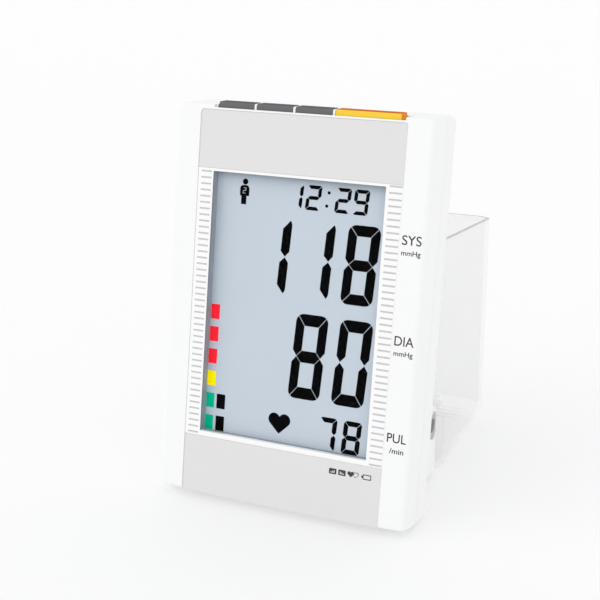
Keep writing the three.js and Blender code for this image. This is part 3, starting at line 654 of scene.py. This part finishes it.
def base_block():
    """The block, hollow and cut off inside the slab's back wall."""
    block = make("block", block_form(), TABLE)
    carve(block, make("room", box((-FAR, FAR), (-FAR, SLAB_DEPTH - 1), (-FAR, FAR)), SLAB))
    room_x = (-BLOCK_HALF + WALL, BLOCK_HALF - WALL)
    room_z = (BLOCK_Z[0] + WALL, BLOCK_Z[1] - WALL)
    return carve(block, plate(room_x, room_z, (10, BLOCK_Y[1] - WALL), (1.0,) * 4, SHARP, 4.0))


def socket_outline(grow=0.0):
    """The air socket's upright oval, as y and z spans and radii."""
    half = SOCKET["width"] / 2 + grow
    tall = SOCKET["height"] / 2 + grow
    return ((SOCKET["y"] - half, SOCKET["y"] + half), (SOCKET["z"] - tall, SOCKET["z"] + tall),
            (half - 0.01,) * 4)


def rear_shell():
    """The back half of the slab with the block under it, and every opening in the two."""
    shell = make("rear_shell", rear_form(), SLAB, REAR_WHITE)
    carve(shell, plate(*SLAB_ROOM, (SEAM[1] - PAST, SLAB_DEPTH - WALL), (3.0,) * 4, SHARP, 2.5))
    outside = SLAB_DEPTH + PAST
    posts = [disc(spot, POST_RADIUS, (SEAM[1], SLAB_DEPTH - 0.6)) for spot in CASE_SCREWS]
    carve(shell, merged(*posts), "UNION")
    for radius, depths in ((HEAD_RADIUS, (18, outside)), (SHANK_RADIUS, (0, SLAB_DEPTH))):
        carve(shell, merged(*[disc(spot, radius, depths) for spot in CASE_SCREWS]))
    through_wall = (SLAB_DEPTH - WALL - 1, outside)
    doorway = (grown((-DOOR_HALF, DOOR_HALF), DOOR_GAP), grown(DOOR_Z, DOOR_GAP))
    carve(shell, plate(*doorway, through_wall, (1.9,) * 4, SHARP))
    carve(shell, disc((0, DOOR_Z[1] + 1), DOOR_NOTCH, (SLAB_DEPTH - 1.2, outside), front=0.5))
    slot_z = (HOOK_Z[0] - 0.6, HOOK_Z[1] + HOOK_LIFT)
    slot_half = HOOK_HALF + 2
    slots = [box((x - slot_half, x + slot_half), through_wall, slot_z) for x in (-HOOK_X, HOOK_X)]
    carve(shell, merged(*slots))
    carve(shell, base_block(), "UNION")
    across, up, radii = socket_outline()
    carve(shell, make("tool", flared(across, up, (BLOCK_HALF, 40), radii, 0.5, at_side), TABLE))
    jack_tool = disc((DC_JACK["y"], DC_JACK["z"]), DC_JACK["hole"], (-60, -40), at_side)
    carve(shell, make("tool", jack_tool, TABLE))
    return seat(smooth(upright(shell)), "housing", "white_shell", "rear_housing")


# ---- Face ----


def fascias():
    """The two grey strips, over and under the display frame."""
    side = PANEL_HALF - FIT
    strip = plate((-side, side), (FRAME_Z[1] + FIT, PANEL_TOP - FIT), FASCIA_Y, PANEL_CORNERS, FASCIA_ROUND)
    upper = make("upper_fascia_panel", strip, SLAB, FASCIA)
    seat(smooth(upper), "housing", "grey_fascia", "upper_fascia")
    strip = plate((-side, side), (-6, FRAME_Z[0] - FIT), FASCIA_Y, (0.3,) * 4, FASCIA_ROUND)
    lower = make("lower_fascia_panel", strip, SLAB, FASCIA)
    carve(lower, loft([at_depth(slab_outline(1.2), y) for y in (-2, 6)]), "INTERSECT")
    seat(smooth(lower), "housing", "grey_fascia", "lower_fascia")


def display_frame():
    """The white frame, the well behind it, the lens across the well and the panel at its back."""
    side = PANEL_HALF - FIT
    surround = plate((-side, side), FRAME_Z, FRAME_Y, (0.3,) * 4, 0.35)
    rim = make("display_surround", surround, SLAB, FRAME_WHITE)
    carve(rim, flared(WINDOW_X, WINDOW_Z, (FRAME_Y[0], FRAME_Y[1] + 2), SQUARE, 0.1))
    # The white frame's left inner wall takes the well's grey: painted shade for a wall that stands in shade.
    rim.data.materials.append(WELL_SHADE)
    for face in rim.data.polygons:
        if face.normal.x > 0.7 and abs(face.center.x - WINDOW_X[0] * MM) < MM:
            face.material_index = 1
    seat(smooth(rim), "housing", "white_frame", "display_frame")
    wide, tall = grown(WINDOW_X, 2), grown(WINDOW_Z, 2)
    well = make("window_well", plate(wide, tall, (FRAME_Y[1], LCD_Y[0]), SQUARE, SHARP), SLAB, WELL_SHADE)
    carve(well, plate(WINDOW_X, WINDOW_Z, (0, 9), SQUARE, SHARP))
    seat(smooth(well), "housing", "carrier")
    pane = plate(grown(WINDOW_X, -LENS_GAP), grown(WINDOW_Z, -LENS_GAP), LENS_Y, SQUARE, 0.15, 0.15)
    seat(smooth(make("display_window", pane, SLAB, LENS_CLEAR)), "housing", "clear_lens", "display_lens")
    panel = make("lcd_panel", plate(LCD_X, LCD_Z, LCD_Y, SQUARE, 0.1, 0.1), SLAB, LCD_FACE)
    seat(smooth(panel), "housing", "lcd", "lcd_glass")


def flat_mark(points, y):
    """A thin upright slab of ink over an outline in x and z, standing out from depth y."""
    return loft([at_depth(points, y), at_depth(points, y - INK)])


def scale_ticks():
    """The fine scale down both sides of the window."""
    marks = []
    rows = ((-44.8, -39.9, 139.9, 26.0), (40.5, 46.0, 140.6, 25.8))
    for start, end, top, bottom in rows:
        for k in range(TICKS):
            z = top + (bottom - top) * k / (TICKS - 1)
            tick = outline((start, end), (z - TICK_HALF, z + TICK_HALF), (0.12,) * 4, 2)
            marks.append(flat_mark(tick, FRAME_Y[0]))
    ticks = make("scale_ticks", merged(*marks), SLAB, TICK_INK)
    seat(ticks, "housing", "grey_fascia")


# Seven-segment digits: which of the segments a to g each digit shows.
SEGMENTS = {
    "0": "abcdef", "1": "bc", "2": "abged", "7": "abc", "8": "abcdefg", "9": "abcdfg",
}


def corner_arc(centre, radius, start, end, steps=5):
    return [(centre[0] + radius * math.cos(start + (end - start) * k / steps),
             centre[1] + radius * math.sin(start + (end - start) * k / steps)) for k in range(steps + 1)]


def segment_shape(letter, width, height, stroke, bar, gap):
    """One segment's outline in an upright cell from (0, 0) to (width, height)."""
    radius = stroke * 0.85
    eighth = math.pi / 4
    slip = gap / 2 / radius
    cut = gap / 2 * 1.3
    middle = height / 2
    if letter == "a":
        left = corner_arc((radius, height - radius), radius, 3 * eighth - slip, 2 * eighth)
        right = corner_arc((width - radius, height - radius), radius, 2 * eighth, eighth + slip)
        return left + right + [(width - stroke - cut, height - bar), (stroke + cut, height - bar)]
    if letter == "b":
        arc = corner_arc((width - radius, height - radius), radius, eighth - slip, 0)
        waist = bar * 0.5
        return arc + [(width, middle + waist + cut), (width - stroke * 0.45, middle + cut * 0.9),
                      (width - stroke, middle + waist + cut), (width - stroke, height - bar - cut)]
    if letter in "cef":
        shape = segment_shape("b", width, height, stroke, bar, gap)
        if letter in "ef":
            shape = [(width - x, z) for x, z in shape]
        if letter in "ce":
            shape = [(x, height - z) for x, z in shape]
        return shape
    if letter == "d":
        return [(x, height - z) for x, z in segment_shape("a", width, height, stroke, bar, gap)]
    half = bar / 2
    tip = stroke * 0.45 + cut
    shoulder = stroke + cut * 0.6
    return [(tip, middle), (shoulder, middle + half), (width - shoulder, middle + half),
            (width - tip, middle), (width - shoulder, middle - half), (shoulder, middle - half)]


def digit(value, x, z, width, height, stroke, bar, gap, slant, depth=LCD_Y[0]):
    """The lit segments of one digit whose cell starts at (x, z), as flat marks at depth."""
    marks = []
    for letter in SEGMENTS[value]:
        shape = segment_shape(letter, width, height, stroke, bar, gap)
        leaning = [(x + px + slant * pz, z + pz) for px, pz in shape]
        marks.append(flat_mark(leaning, depth))
    return marks


def heart_shape(centre, width, height):
    """A heart of two round lobes whose sides run straight to the tip, about its middle."""
    lobe = 0.265 * width
    offset = 0.235 * width
    drop = height - lobe
    reach = math.hypot(offset, drop)
    notch = math.acos(-offset / lobe)
    tangent = math.atan2(-drop, -offset) + math.acos(lobe / reach)
    level = centre[1] + height / 2 - lobe
    right = [(centre[0] + offset + x, level + z)
             for x, z in corner_arc((0, 0), lobe, notch, tangent, 14)]
    left = [(2 * centre[0] - x, z) for x, z in reversed(right[1:])]
    return right + [(centre[0], level - drop)] + left


def lcd_readings():
    """The large readings, the clock and the heart."""
    large = dict(width=14.2, height=33.1, stroke=4.0, bar=4.5, gap=0.28, slant=0.058)
    middle = dict(width=14.6, height=36.5, stroke=4.0, bar=5.0, gap=0.28, slant=0.06)
    small = dict(width=8.1, height=14.4, stroke=2.05, bar=2.15, gap=0.22, slant=0.06)
    clock = dict(width=6.6, height=10.4, stroke=1.5, bar=1.5, gap=0.2, slant=0.08)
    readings = [("1", -18.9, 90.1, large), ("1", 0.9, 90.1, large), ("8", 20.75, 90.1, large),
                ("8", -0.3, 47.2, middle), ("0", 19.7, 47.2, middle),
                ("7", 14.6, 26.8, small), ("8", 25.7, 26.8, small),
                ("1", -6.0, 127.3, clock), ("2", 2.2, 127.3, clock),
                ("2", 15.4, 127.3, clock), ("9", 23.4, 127.3, clock)]
    marks = [mark for value, x, z, style in readings for mark in digit(value, x, z, **style)]
    marks += [flat_mark(circle(spot, 0.68), LCD_Y[0]) for spot in ((12.7, 135.2), (12.0, 129.7))]
    marks.append(flat_mark(heart_shape((-3.3, 34.9), 10.3, 8.9), LCD_Y[0]))
    seat(make("lcd_readings", merged(*marks), SLAB, BLACK_INK), "housing", "lcd")


def user_figure():
    """A plain figure with a number on its chest."""
    marks = [flat_mark(circle((-25.9, 136.6), 1.25), LCD_Y[0]),
             flat_mark(outline((-28.2, -23.9), (130.6, 135.1), (0.3, 0.3, 1.5, 1.5), 6), LCD_Y[0]),
             flat_mark(outline((-27.5, -25.1), (127.0, 130.6), (0.1,) * 4, 2), LCD_Y[0])]
    seat(make("user_figure", merged(*marks), SLAB, BLACK_INK), "housing", "lcd")
    style = dict(width=1.35, height=2.5, stroke=0.2, bar=0.2, gap=0.03, slant=0.1)
    lines = digit("2", -26.9, 131.6, **style, depth=LCD_Y[0] - INK)
    seat(make("user_number", merged(*lines), SLAB, LCD_FACE), "housing", "lcd")


def level_bars():
    """Coloured bars up the left of the display, and the black marks beside them."""
    top, pitch = 82.7, 9.83
    width, height = 4.1, 6.5

    def bar(k, left):
        z = top - pitch * k
        return flat_mark(outline((left, left + width), (z - height, z), (0.08,) * 4, 2), LCD_Y[0])

    colours = (RED_INK, RED_INK, RED_INK, YELLOW_INK, GREEN_INK, GREEN_INK)
    for k, colour in enumerate(colours):
        seat(make(f"level_bar_{k + 1}", bar(k, -38.85 - 0.09 * k), SLAB, colour), "housing", "lcd")
    seat(make("level_marks", merged(bar(4, -33.9), bar(5, -33.9)), SLAB, BLACK_INK), "housing", "lcd")


# ---- Printed labels ----


def label(name, words, x, z, swell):
    """Generic unit lettering that fills x by z on the slab's face, with strokes fatter by swell."""
    curve = bpy.data.curves.new(name, "FONT")
    curve.body = words
    curve.extrude = INK * MM / 2
    curve.offset = swell
    text = bpy.data.objects.new(name + "_text", curve)
    bpy.context.scene.collection.objects.link(text)
    bpy.context.view_layer.update()
    mesh = bpy.data.meshes.new_from_object(text.evaluated_get(bpy.context.evaluated_depsgraph_get()))
    bpy.data.objects.remove(text)
    xs = [vertex.co.x for vertex in mesh.vertices]
    ys = [vertex.co.y for vertex in mesh.vertices]
    wide = (x[1] - x[0]) * MM / (max(xs) - min(xs))
    tall = (z[1] - z[0]) * MM / (max(ys) - min(ys))
    for vertex in mesh.vertices:
        across = x[0] * MM + (vertex.co.x - min(xs)) * wide
        up = z[0] * MM + (vertex.co.y - min(ys)) * tall
        vertex.co = (across, -vertex.co.z, up)
    made = bpy.data.objects.new(name, mesh)
    bpy.context.scene.collection.objects.link(made)
    made.matrix_world = SLAB
    mesh.materials.clear()
    mesh.materials.append(LABEL_INK)
    return seat(made, "housing", "white_shell")


def rail_labels():
    """The three names beside the readings, each over its unit."""
    wide = (47.6, 55.8)
    rows = (("label_systolic", "SYS", 117.8, 121.7), ("label_diastolic", "DIA", 76.9, 80.8),
            ("label_pulse", "PUL", 36.7, 40.5))
    for name, words, low, high in rows:
        label(name, words, wide, (low, high), 0.002)
    for name, low, high in (("unit_systolic", 112.9, 115.6), ("unit_diastolic", 72.0, 74.7)):
        label(name, "mmHg", wide, (low, high), 0.010)
    label("unit_pulse", "/min", (48.9, 55.1), (32.1, 34.4), 0.010)


def strip_icons():
    """Small generic icons on the lower strip: two boxed marks, two hearts and a battery."""
    y = FASCIA_Y[0]
    through = (y + 1, y - 1)
    low, high = 18.8, 21.2
    boxes = (23.0, 27.2)
    dark = [flat_mark(outline((left, left + 3.3), (low, high), (0.3,) * 4, 3), y) for left in boxes]
    dark.append(flat_mark(heart_shape((32.8, 20.05), 3.0, 2.4), y))
    seat(make("strip_icons", merged(*dark), SLAB, ICON_INK), "housing", "grey_fascia")
    light = []
    for left, heights in zip(boxes, ((0.35, 0.65, 0.95), (0.95, 0.65, 0.35))):
        for k, tall in enumerate(heights):
            x = left + 0.75 + 0.7 * k
            light.append(flat_mark(outline((x, x + 0.4), (19.3, 19.5 + tall), (0.05,) * 4, 2), y - INK))
    seat(make("strip_icon_marks", merged(*light), SLAB, FASCIA), "housing", "grey_fascia")
    centre = (34.9, 20.05)
    heart = make("strip_heart_outline", flat_mark(heart_shape(centre, 2.9, 2.4), y), SLAB, ICON_INK)
    carve(heart, loft([at_depth(heart_shape(centre, 2.4, 1.95), depth) for depth in through]))
    carve(heart, box((30, 34.2), (y - 1, y + 1), (18, 22)))
    seat(heart, "housing", "grey_fascia")
    case = flat_mark(outline((38.2, 41.9), grown((low, high), -0.1), (0.3,) * 4, 3), y)
    battery = make("strip_battery", case, SLAB, ICON_INK)
    carve(battery, flat_mark(outline((37.6, 38.4), (19.5, 20.5), (0.1,) * 4, 2), y), "UNION")
    inside = outline((38.55, 41.55), grown((low, high), -0.45), (0.12,) * 4, 2)
    carve(battery, loft([at_depth(inside, depth) for depth in through]))
    seat(battery, "housing", "grey_fascia")


# ---- Keys ----


def key_profile(foot=BUTTON_FOOT, lower=0.0):
    """The key's side outline: a standing front, a round shoulder and a top that rises to the back."""
    front, back = BUTTON_Y
    shoulder, heel = 0.7, 0.6
    slope = math.atan2(BUTTON_TOP - BUTTON_FACE_TOP, back - front)
    points = [(front, foot + lower)]
    turn = (front + shoulder, BUTTON_FACE_TOP - shoulder + 0.35)
    points += corner_arc(turn, shoulder, math.pi, QUARTER + slope)
    points += corner_arc((back - heel, BUTTON_TOP - heel), heel, QUARTER + slope, 0)
    points.append((back, foot + lower))
    return [(y, z - lower) for y, z in points]


def key(name, span, front, top, end):
    """One key: its profile drawn along x with rounded ends, with painted shade on its top, back and ends."""
    profile = key_profile()
    middle = (sum(BUTTON_Y) / 2, (BUTTON_FOOT + BUTTON_TOP) / 2)
    half = ((BUTTON_Y[1] - BUTTON_Y[0]) / 2, (BUTTON_TOP - BUTTON_FOOT) / 2)
    loops = []
    for x, inset in profile_levels(span, 0.45, 0.45, 4):
        shrink = (1 - inset / half[0], 1 - inset / half[1])
        loops.append([(x, middle[0] + (y - middle[0]) * shrink[0], middle[1] + (z - middle[1]) * shrink[1])
                      for y, z in profile])
    piece = make(name, loft(loops), SLAB, front)
    for material in (top, end):
        piece.data.materials.append(material)
    # Faces turned up or back take the second material and the ends the third: darker copies that paint
    # shade.
    for face in piece.data.polygons:
        if face.normal.z > 0.75 or face.normal.y > 0.3:
            face.material_index = 1
        elif abs(face.normal.x) > 0.75:
            face.material_index = 2
    return smooth(piece)


def keys():
    names = ("memory", "clock", "user", "start")
    for name, span in zip(names, button_spans()):
        orange = name == "start"
        looks = (ORANGE_KEY, ORANGE_TOP_SHADE, ORANGE_END_SHADE) if orange else (GREY_KEY, KEY_TOP_SHADE, GREY_KEY)
        piece = key(f"{name}_key_cap", span, *looks)
        seat(piece, f"{name}_key", "orange_key" if orange else "grey_key", f"{name}_button")


# ---- Cuff bin ----


def bin_plan(inset):
    """The bin's plan, which narrows to the back, with rounded back corners."""
    front = 20.0
    back = TOTAL_DEPTH - inset

    def half_at(y):
        return BIN_BACK_HALF + (TOTAL_DEPTH - y) * BIN_TAPER - inset

    radius = BIN_CORNER - inset
    turn = back - radius
    middle = half_at(turn) - radius
    sides = [(-half_at(front), front), (half_at(front), front)]
    return (sides + corner_arc((middle, turn), radius, 0, QUARTER, 10)
            + corner_arc((-middle, turn), radius, QUARTER, math.pi, 10))


def bin_form(inset):
    """The bin's closed form, shrunk on every side, with a rounded edge round its floor."""
    floor = BIN_FLOOR_Z + inset
    round_edge = BIN_FLOOR_ROUND - inset * 0.8
    loops = [at_height(bin_plan(inset + drawn), floor + depth) for depth, drawn in rounding(round_edge, 8)]
    loops.append(at_height(bin_plan(inset), 130))
    form = make("form", loft(loops), TABLE)
    carve(form, make("room", box((-FAR, FAR), (-FAR, SLAB_DEPTH + 0.4 + inset), (-FAR, FAR)), SLAB))
    step_top = BLOCK_Z[1] + LEDGE_ROOM + inset
    step_back = BLOCK_Y[1] + BEHIND_ROOM + inset
    step = plate((-FAR, FAR), (-FAR, step_top), (-FAR, step_back), (SHARP, SHARP, 2.0, 2.0), SHARP, 3.0)
    carve(form, step)
    return form


def add_hooks_and_ribs(walls):
    """The two hooks into the slab's back, and the low ribs across the bin's floor."""
    tip = SLAB_DEPTH - WALL - 3
    for x in (-HOOK_X, HOOK_X):
        width = (x - HOOK_HALF, x + HOOK_HALF)
        neck = plate(width, HOOK_Z, (tip, SLAB_DEPTH + 1.4), (0.3,) * 4, 0.2, 0.2)
        lip = plate(width, (HOOK_Z[0] - HOOK_LIP, HOOK_Z[1] - 1), (tip, tip + 2.5), (0.3,) * 4, 0.2, 0.2)
        for hook in (neck, lip):
            carve(walls, make("hook", hook, SLAB), "UNION")
    half = BIN_BACK_HALF - BIN_WALL - BIN_FLOOR_ROUND - 1
    floor = BIN_FLOOR_Z + BIN_WALL
    for k in range(4):
        start = RIB_START + RIB_PITCH * k
        rib = plate((-half, half), (floor - 1, floor + RIB_HEIGHT), (start, start + RIB_WIDTH),
                    (SHARP, SHARP, 0.4, 0.4), 0.25, 0.25)
        carve(walls, make("rib", rib, TABLE), "UNION")


def cuff_bin():
    """The clear bin with its sloping rim; its rim takes a dark grey of painted shade, and its foot and the
    faces round the step over the block a white painted highlight.
    """
    walls = bin_form(0.0)
    walls.name = "clear_bin"
    carve(walls, bin_form(BIN_WALL))
    rim_tool = box((-FAR, FAR), (-FAR, FAR), (0, FAR))
    tilt = Matrix.Translation((0, FRONT_EDGE_Y + TOTAL_DEPTH * MM, BIN_RIM_BACK * MM))
    carve(walls, make("rim", rim_tool, tilt @ Matrix.Rotation(-BIN_RIM_SLOPE, 4, "X")))
    add_hooks_and_ribs(walls)
    walls.data.materials.clear()
    for material in (BIN_CLEAR, BIN_RIM_SHADE, BIN_FOOT_HIGHLIGHT):
        walls.data.materials.append(material)
    rim_normal = Vector((0, math.sin(BIN_RIM_SLOPE), math.cos(BIN_RIM_SLOPE)))
    foot_top = BIN_FLOOR_Z + BIN_FLOOR_ROUND
    step_top = BLOCK_Z[1] + 6  # over the step and the roundings beside it
    step_back = BLOCK_Y[1] + 5
    # Rim faces take the dark grey, a painted shade; the floor's rounding and the faces round the step take
    # the white, a painted highlight.
    for face in walls.data.polygons:
        centre = face.center / MM
        low = centre.z < foot_top
        stepped = centre.z < step_top and centre.y < step_back
        rim = centre.z > RIM_ABOVE and face.normal.dot(rim_normal) > 0.99
        face.material_index = 2 if low or stepped else int(rim)
    return seat(smooth(walls), "bin", "clear_bin", "cuff_bin")


# ---- Back, base and small parts ----


def battery_cover():
    panel = plate((-DOOR_HALF, DOOR_HALF), DOOR_Z, (SLAB_DEPTH - 2, SLAB_DEPTH), (1.7,) * 4, 0.1, 0.35)
    cover = make("battery_cover", panel, SLAB, REAR_WHITE)
    for z in DOOR_GRIPS:
        rib = plate((-8, 8), (z - 0.45, z + 0.45), (SLAB_DEPTH - 0.3, SLAB_DEPTH + 0.45), SQUARE, 0.02, 0.3)
        carve(cover, rib, "UNION")
    seat(smooth(cover), "battery_lid", "white_shell", "battery_door")


def air_socket():
    across, up, radii = socket_outline(-0.3)
    body = plate(across, up, (34, BLOCK_HALF - 0.7), radii, 0.1, 0.5, at_side)
    face = make("air_socket_face", body, TABLE, SOCKET_GREY)
    centre = (SOCKET["y"], SOCKET["z"])
    carve(face, disc(centre, SOCKET["hole"], (BLOCK_HALF - 10, BLOCK_HALF + 3), at_side))
    carve(face, disc(centre, SPIGOT_RADIUS, (30, 35), at_side, 24, 0.3), "UNION")
    seat(smooth(face), "housing", "socket_grey", "air_socket")


def pad(name, spot, side, top):
    """A round rubber pad from the table up to top, on the left side at -1 or the right side at 1."""
    form = disc((side * spot["x"], spot["y"]), spot["radius"], (0, top), at_height, front=PAD_ROUND)
    return make(name, form, TABLE, RUBBER)


def feet():
    for side, hand in ((-1, "left"), (1, "right")):
        front = pad(f"front_pad_{hand}", FRONT_PAD, side, 6)
        carve(front, make("under", slab_form([SLAB_DEPTH * k / 12 for k in range(13)]), SLAB))
        seat(smooth(front), "housing", "foot_rubber", f"front_foot_{hand}")
        rear = pad(f"rear_pad_{hand}", REAR_PAD, side, BLOCK_Z[0])
        seat(smooth(rear), "housing", "foot_rubber", f"rear_foot_{hand}")


def dress(node, material, bevel):
    """A CAD node that stays: its own material, and softly broken edges unless bevel is zero."""
    piece = frame["nodes"][node]
    piece.data.materials.clear()
    piece.data.materials.append(material)
    for face in piece.data.polygons:
        face.material_index = 0
        face.use_smooth = True
    weld = piece.modifiers.new("weld", "WELD")
    weld.merge_threshold = 0.002 * MM
    if bevel:
        edge = piece.modifiers.new("bevel", "BEVEL")
        edge.width = bevel * MM
        edge.segments = 2
        edge.limit_method = "ANGLE"
        edge.angle_limit = math.radians(35)
        edge.use_clamp_overlap = True
    weighted = piece.modifiers.new("weighted", "WEIGHTED_NORMAL")
    weighted.keep_sharp = True


def numbered(stem, count):
    return [f"{stem}_{k}" for k in range(1, count + 1)]


def dress_nodes():
    """The CAD nodes that stay, each with its material."""
    looks = {
        STEEL: numbered("tact_switch", 4) + ["contact_plate_left", "contact_plate_right"]
               + numbered("case_screw", 4) + ["pump_motor", "motor_shaft", "valve_body", "valve_plunger"]
               + numbered("battery_spring", 2),
        CELL_WRAP: numbered("battery_cell", 4),
        BOARD: ["main_pcb", "button_board"],
        BLACK_PART: ["microcontroller", "buzzer", "pump_head", "dc_jack"],
        CARRIER: ["lcd_holder", "battery_tray"],
        DIFFUSER: ["lcd_backlight"],
        NYLON: ["pump_eccentric", "air_manifold"],
        SENSOR_GREY: ["pressure_sensor"],
        HOSE: ["pump_tube", "valve_tube", "socket_tube", "sensor_tube"],
        ZEBRA: ["zebra_strip"],
    }
    plain = ("battery_spring", "tube", "contact_plate")
    for material, names in looks.items():
        for name in names:
            dress(name, material, 0.0 if any(word in name for word in plain) else 0.2)


# ---- Scene ----

LENS_LENGTH = 76.92  # millimetres, on a sensor this wide
SENSOR_WIDTH = 36.0
CAMERA_PLACE = (0.2177, -0.5242, 0.2492)
CAMERA_TURN = (math.radians(73.06), 0, math.radians(24.69))
SUN_DIRECTION = (0.55, 0.62, -0.56)
SUN_SPREAD = math.radians(50)
SUN_STRENGTH = 0.28
WORLD_STRENGTH = 0.955
FLOOR_HALF = 6000.0
FLOOR_GLOW = 0.29


def camera():
    data = bpy.data.cameras.new("camera")
    data.lens = LENS_LENGTH
    data.sensor_width = SENSOR_WIDTH
    data.dof.use_dof = False
    placed = bpy.data.objects.new("camera", data)
    bpy.context.scene.collection.objects.link(placed)
    placed.location = CAMERA_PLACE
    placed.rotation_euler = CAMERA_TURN
    bpy.context.scene.camera = placed


def sun_light():
    """A soft light from far away that shines along SUN_DIRECTION."""
    data = bpy.data.lights.new("key", "SUN")
    data.angle = SUN_SPREAD
    data.energy = SUN_STRENGTH
    light = bpy.data.objects.new("key", data)
    bpy.context.scene.collection.objects.link(light)
    light.rotation_euler = Vector(SUN_DIRECTION).to_track_quat("-Z", "Y").to_euler()


def floor_paper():
    """Matt white paper that glows a little, as under a light from below, so that shadows stay pale."""
    material = moulded("pale_floor", (0.68, 0.683, 0.683), 0.7, 60.0, 0.02, 0.002, 0.1)
    preset(material.node_tree.nodes["Principled BSDF"],
           {"Emission Color": (1.0, 1.0, 1.0, 1), "Emission Strength": FLOOR_GLOW})
    return material


def studio():
    scene = bpy.context.scene
    scene.view_settings.view_transform = "Standard"
    world = bpy.data.worlds.new("studio")
    world.use_nodes = True
    preset(world.node_tree.nodes["Background"], {"Color": (1.0, 1.0, 1.0, 1), "Strength": WORLD_STRENGTH})
    scene.world = world
    sun_light()
    sheet = plate((-FLOOR_HALF, FLOOR_HALF), (-FLOOR_HALF, FLOOR_HALF), (0, 2), (1.0,) * 4, SHARP)
    flat = Matrix(((1, 0, 0, 0), (0, 0, 1, 0), (0, -1, 0, 0), (0, 0, 0, 1)))
    make("floor", sheet, flat, floor_paper())


camera()
front_shell()
rear_shell()
fascias()
display_frame()
scale_ticks()
lcd_readings()
user_figure()
level_bars()
rail_labels()
strip_icons()
keys()
cuff_bin()
battery_cover()
air_socket()
feet()
dress_nodes()
studio()
